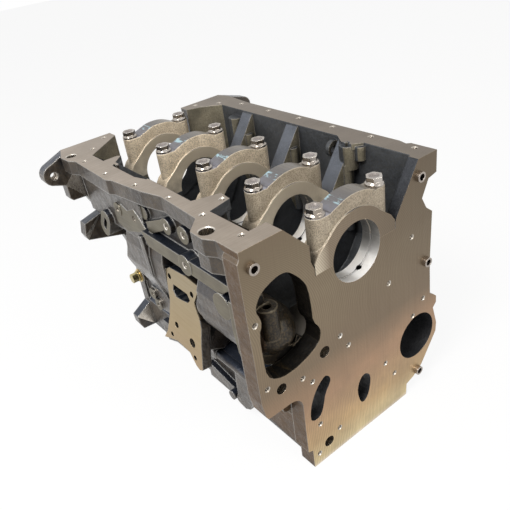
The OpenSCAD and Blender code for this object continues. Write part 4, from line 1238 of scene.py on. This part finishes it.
@dataclass
class TappedHoles:
    """Cut threads in the mouths of the tapped holes."""

    holes: list[Hole]
    turns: float = 7.0
    pitch_share: float = 0.34
    ridge_share: float = 0.16
    smallest: float = 2.5 * MM
    largest: float = 5.6 * MM
    corners_per_turn: int = 18
    ridge_corners: int = 4

    def build(self) -> None:
        """Winds the threads as one piece that rides on the block."""
        chosen = [h for h in self.holes if self.smallest < h.wall < self.largest]
        sizes = {"Turns": self.turns, "Pitch": self.pitch_share, "Ridge": self.ridge_share}
        piece = self._tree(sizes).run(self._points(chosen), sizes, "tapped_threads")
        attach(piece, BODY)
        LOG.info("cut threads in %d holes", len(chosen))

    def _points(self, holes: list[Hole]) -> bpy.types.Object:
        """Makes one point for each hole, with its radius and the turn of its axis.

        Args:
            holes: The holes.

        Returns:
            An object whose mesh holds the points.
        """
        places, turns = [], []
        for hole in holes:
            depth = max(hole.radius - hole.wall, 0.0) + self.ridge_share * hole.wall
            inward = hole.axis.unit * -hole.outward
            places.append(Vector(hole.centre) + inward * depth)
            turns += list(Vector((0, 0, 1)).rotation_difference(inward).to_euler())
        mesh = bpy.data.meshes.new("hole_points")
        mesh.from_pydata(places, [], [])
        radius = mesh.attributes.new("hole_radius", "FLOAT", "POINT")
        radius.data.foreach_set("value", [h.wall for h in holes])
        mesh.attributes.new("hole_turn", "FLOAT_VECTOR", "POINT").data.foreach_set("vector", turns)
        return put_in_scene("hole_points", mesh)

    def _tree(self, sizes: dict[str, float]) -> GeometrySheet:
        """Builds the tree that winds a thread at each point.

        Args:
            sizes: The tree's number inputs, with their usual values.

        Returns:
            The tree.
        """
        sheet = GeometrySheet("thread_winding", sizes)
        spiral = sheet.node("GeometryNodeCurveSpiral", {
            "Resolution": self.corners_per_turn, "Start Radius": 1.0, "End Radius": 1.0,
            "Rotations": sheet.given["Turns"],
            "Height": sheet.times(sheet.given["Turns"], sheet.given["Pitch"]),
        }).outputs["Curve"]
        profile = sheet.node("GeometryNodeCurvePrimitiveCircle", {
            "Resolution": self.ridge_corners, "Radius": sheet.given["Ridge"],
        }).outputs["Curve"]
        ridge = sheet.node("GeometryNodeCurveToMesh", {
            "Fill Caps": True, "Curve": spiral, "Profile Curve": profile,
        }).outputs["Mesh"]
        turn = sheet.node("FunctionNodeEulerToRotation", {
            "Euler": sheet.attribute("hole_turn", "FLOAT_VECTOR"),
        })
        place = sheet.node("GeometryNodeInstanceOnPoints", {
            "Points": sheet.given["Geometry"],
            "Instance": ridge,
            "Rotation": turn.outputs["Rotation"],
            "Scale": sheet.attribute("hole_radius", "FLOAT"),
        })
        real = sheet.node("GeometryNodeRealizeInstances", {"Geometry": place.outputs["Instances"]})
        finish = sheet.node("GeometryNodeSetMaterial", {
            "Geometry": real.outputs["Geometry"], "Material": THREAD_STEEL.material(),
        })
        sheet.feed(sheet.end.inputs["Geometry"], finish.outputs["Geometry"])
        return sheet


# ---- Studio ----


@dataclass(frozen=True)
class PhotoCamera:
    """The photograph's camera, solved from the block's own corners, in metres."""

    place: Point = (0.5908, -0.3827, 0.6033)
    focal_px: float = 580.972
    frame_px: float = 510.0
    sensor_mm: float = 36.0
    right: Point = (0.615011, 0.776989, -0.134348)
    down: Point = (0.337687, -0.413496, -0.84557)
    clip: tuple[float, float] = (0.01, 50.0)

    def build(self) -> None:
        """Makes the camera and sets it as the scene's."""
        data = bpy.data.cameras.new("photo_camera")
        data.sensor_width = self.sensor_mm
        data.lens = self.sensor_mm * self.focal_px / self.frame_px
        data.clip_start, data.clip_end = self.clip
        camera = put_in_scene("photo_camera", data)
        right, down = Vector(self.right).normalized(), Vector(self.down).normalized()
        turn = Matrix((right, -down, right.cross(-down))).transposed()
        camera.matrix_world = Matrix.Translation(Vector(self.place)) @ turn.to_4x4()
        bpy.context.scene.camera = camera


@dataclass(frozen=True)
class Lamp:
    """A soft round area lamp."""

    name: str
    place: Point
    size: float
    power: float
    colour: Colour

    def build(self, aim: Vector) -> None:
        """Makes the lamp and turns it towards a point.

        Args:
            aim: The point.
        """
        data = bpy.data.lights.new(self.name, "AREA")
        data.shape = "DISK"
        data.size = self.size
        data.energy = self.power
        data.color = self.colour
        lamp = put_in_scene(self.name, data)
        lamp.location = self.place
        lamp.rotation_mode = "QUATERNION"
        lamp.rotation_quaternion = (aim - Vector(self.place)).to_track_quat("-Z", "Y")


@dataclass
class Studio:
    """Pale floor, plain sky, three soft lamps and the camera."""

    floor_half: float = 6.0
    floor_tint: Colour = (0.82, 0.82, 0.82)
    floor_white: float = 0.9
    sky: float = 0.44
    aim: Point = (0.0, 0.0, 0.18)
    camera: PhotoCamera = field(default_factory=PhotoCamera)
    lamps: tuple[Lamp, ...] = (
        Lamp("key_lamp", (0.5, -1.3, 1.9), 0.9, 44.0, (1.0, 0.98, 0.95)),
        Lamp("front_lamp", (1.9, 0.3, 1.0), 1.0, 16.0, (1.0, 0.97, 0.92)),
        Lamp("side_lamp", (-0.9, -1.7, 0.9), 1.3, 10.0, (0.86, 0.93, 1.0)),
    )

    def build(self) -> None:
        """Makes the studio."""
        self._floor()
        self._sky()
        for lamp in self.lamps:
            lamp.build(Vector(self.aim))
        self.camera.build()
        bpy.context.scene.view_settings.view_transform = "Standard"

    @staticmethod
    def _shown_white(sheet: NodeSheet) -> Socket:
        """A factor that is 1 for the camera, glossy and transmission rays, which show the background.

        Args:
            sheet: The tree that uses it.

        Returns:
            The factor.
        """
        rays = sheet.node("ShaderNodeLightPath").outputs
        seen = sheet.arithmetic("MAXIMUM", rays["Is Camera Ray"], rays["Is Glossy Ray"])
        return sheet.arithmetic("MAXIMUM", seen, rays["Is Transmission Ray"])

    def _floor(self) -> None:
        """Makes the floor, white to the camera but for the object's shadow."""
        half = self.floor_half
        corners = [(-half, -half, 0), (half, -half, 0), (half, half, 0), (-half, half, 0)]
        mesh = bpy.data.meshes.new("floor")
        mesh.from_pydata(corners, [], [(0, 1, 2, 3)])
        material = bpy.data.materials.new("floor_pale")
        material.use_nodes = True
        sheet = NodeSheet(material.node_tree)
        blend = sheet.node("ShaderNodeMixShader", {
            0: sheet.times(self._shown_white(sheet), self.floor_white),
            1: sheet.node("ShaderNodeBsdfDiffuse", {"Color": (*self.floor_tint, 1.0)}).outputs["BSDF"],
            2: sheet.node("ShaderNodeEmission", {"Strength": 1.0}).outputs["Emission"],
        })
        sheet.node("ShaderNodeOutputMaterial", {"Surface": blend.outputs["Shader"]})
        mesh.materials.append(material)
        put_in_scene("floor", mesh)

    def _sky(self) -> None:
        """Makes the sky: white where it is seen, a plain even level where it lights."""
        world = bpy.data.worlds.new("sky")
        bpy.context.scene.world = world
        world.use_nodes = True
        sheet = NodeSheet(world.node_tree)
        level = sheet.node("ShaderNodeMapRange", {
            "To Min": self.sky, "To Max": 1.0, "Value": self._shown_white(sheet),
        })
        glow = sheet.node("ShaderNodeBackground", {
            "Color": (1.0, 1.0, 1.0, 1.0), "Strength": level.outputs["Result"],
        })
        sheet.node("ShaderNodeOutputWorld", {"Surface": glow.outputs["Background"]})


def put_in_scene(name: str, data: bpy.types.ID) -> bpy.types.Object:
    """Makes an object of a mesh, camera or lamp and puts it in the scene.

    Args:
        name: The object's name.
        data: What it shows.

    Returns:
        The object.
    """
    made = bpy.data.objects.new(name, data)
    bpy.context.scene.collection.objects.link(made)
    return made


def main() -> None:
    """Loads the frame, dresses it, adds the pieces and sets the studio."""
    logging.basicConfig(level=logging.INFO, format="%(name)s: %(message)s")
    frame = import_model()
    places = BlockPlaces.measure(frame["record"])
    nodes = frame["nodes"]
    casting = BlockCasting(places, nodes["cylinder_block"])
    casting.dress()
    BearingCaps(places, nodes).dress()
    Hardware(nodes).dress()
    TappedHoles(casting.holes).build()
    Studio().build()


if __name__ == "__main__":
    main()
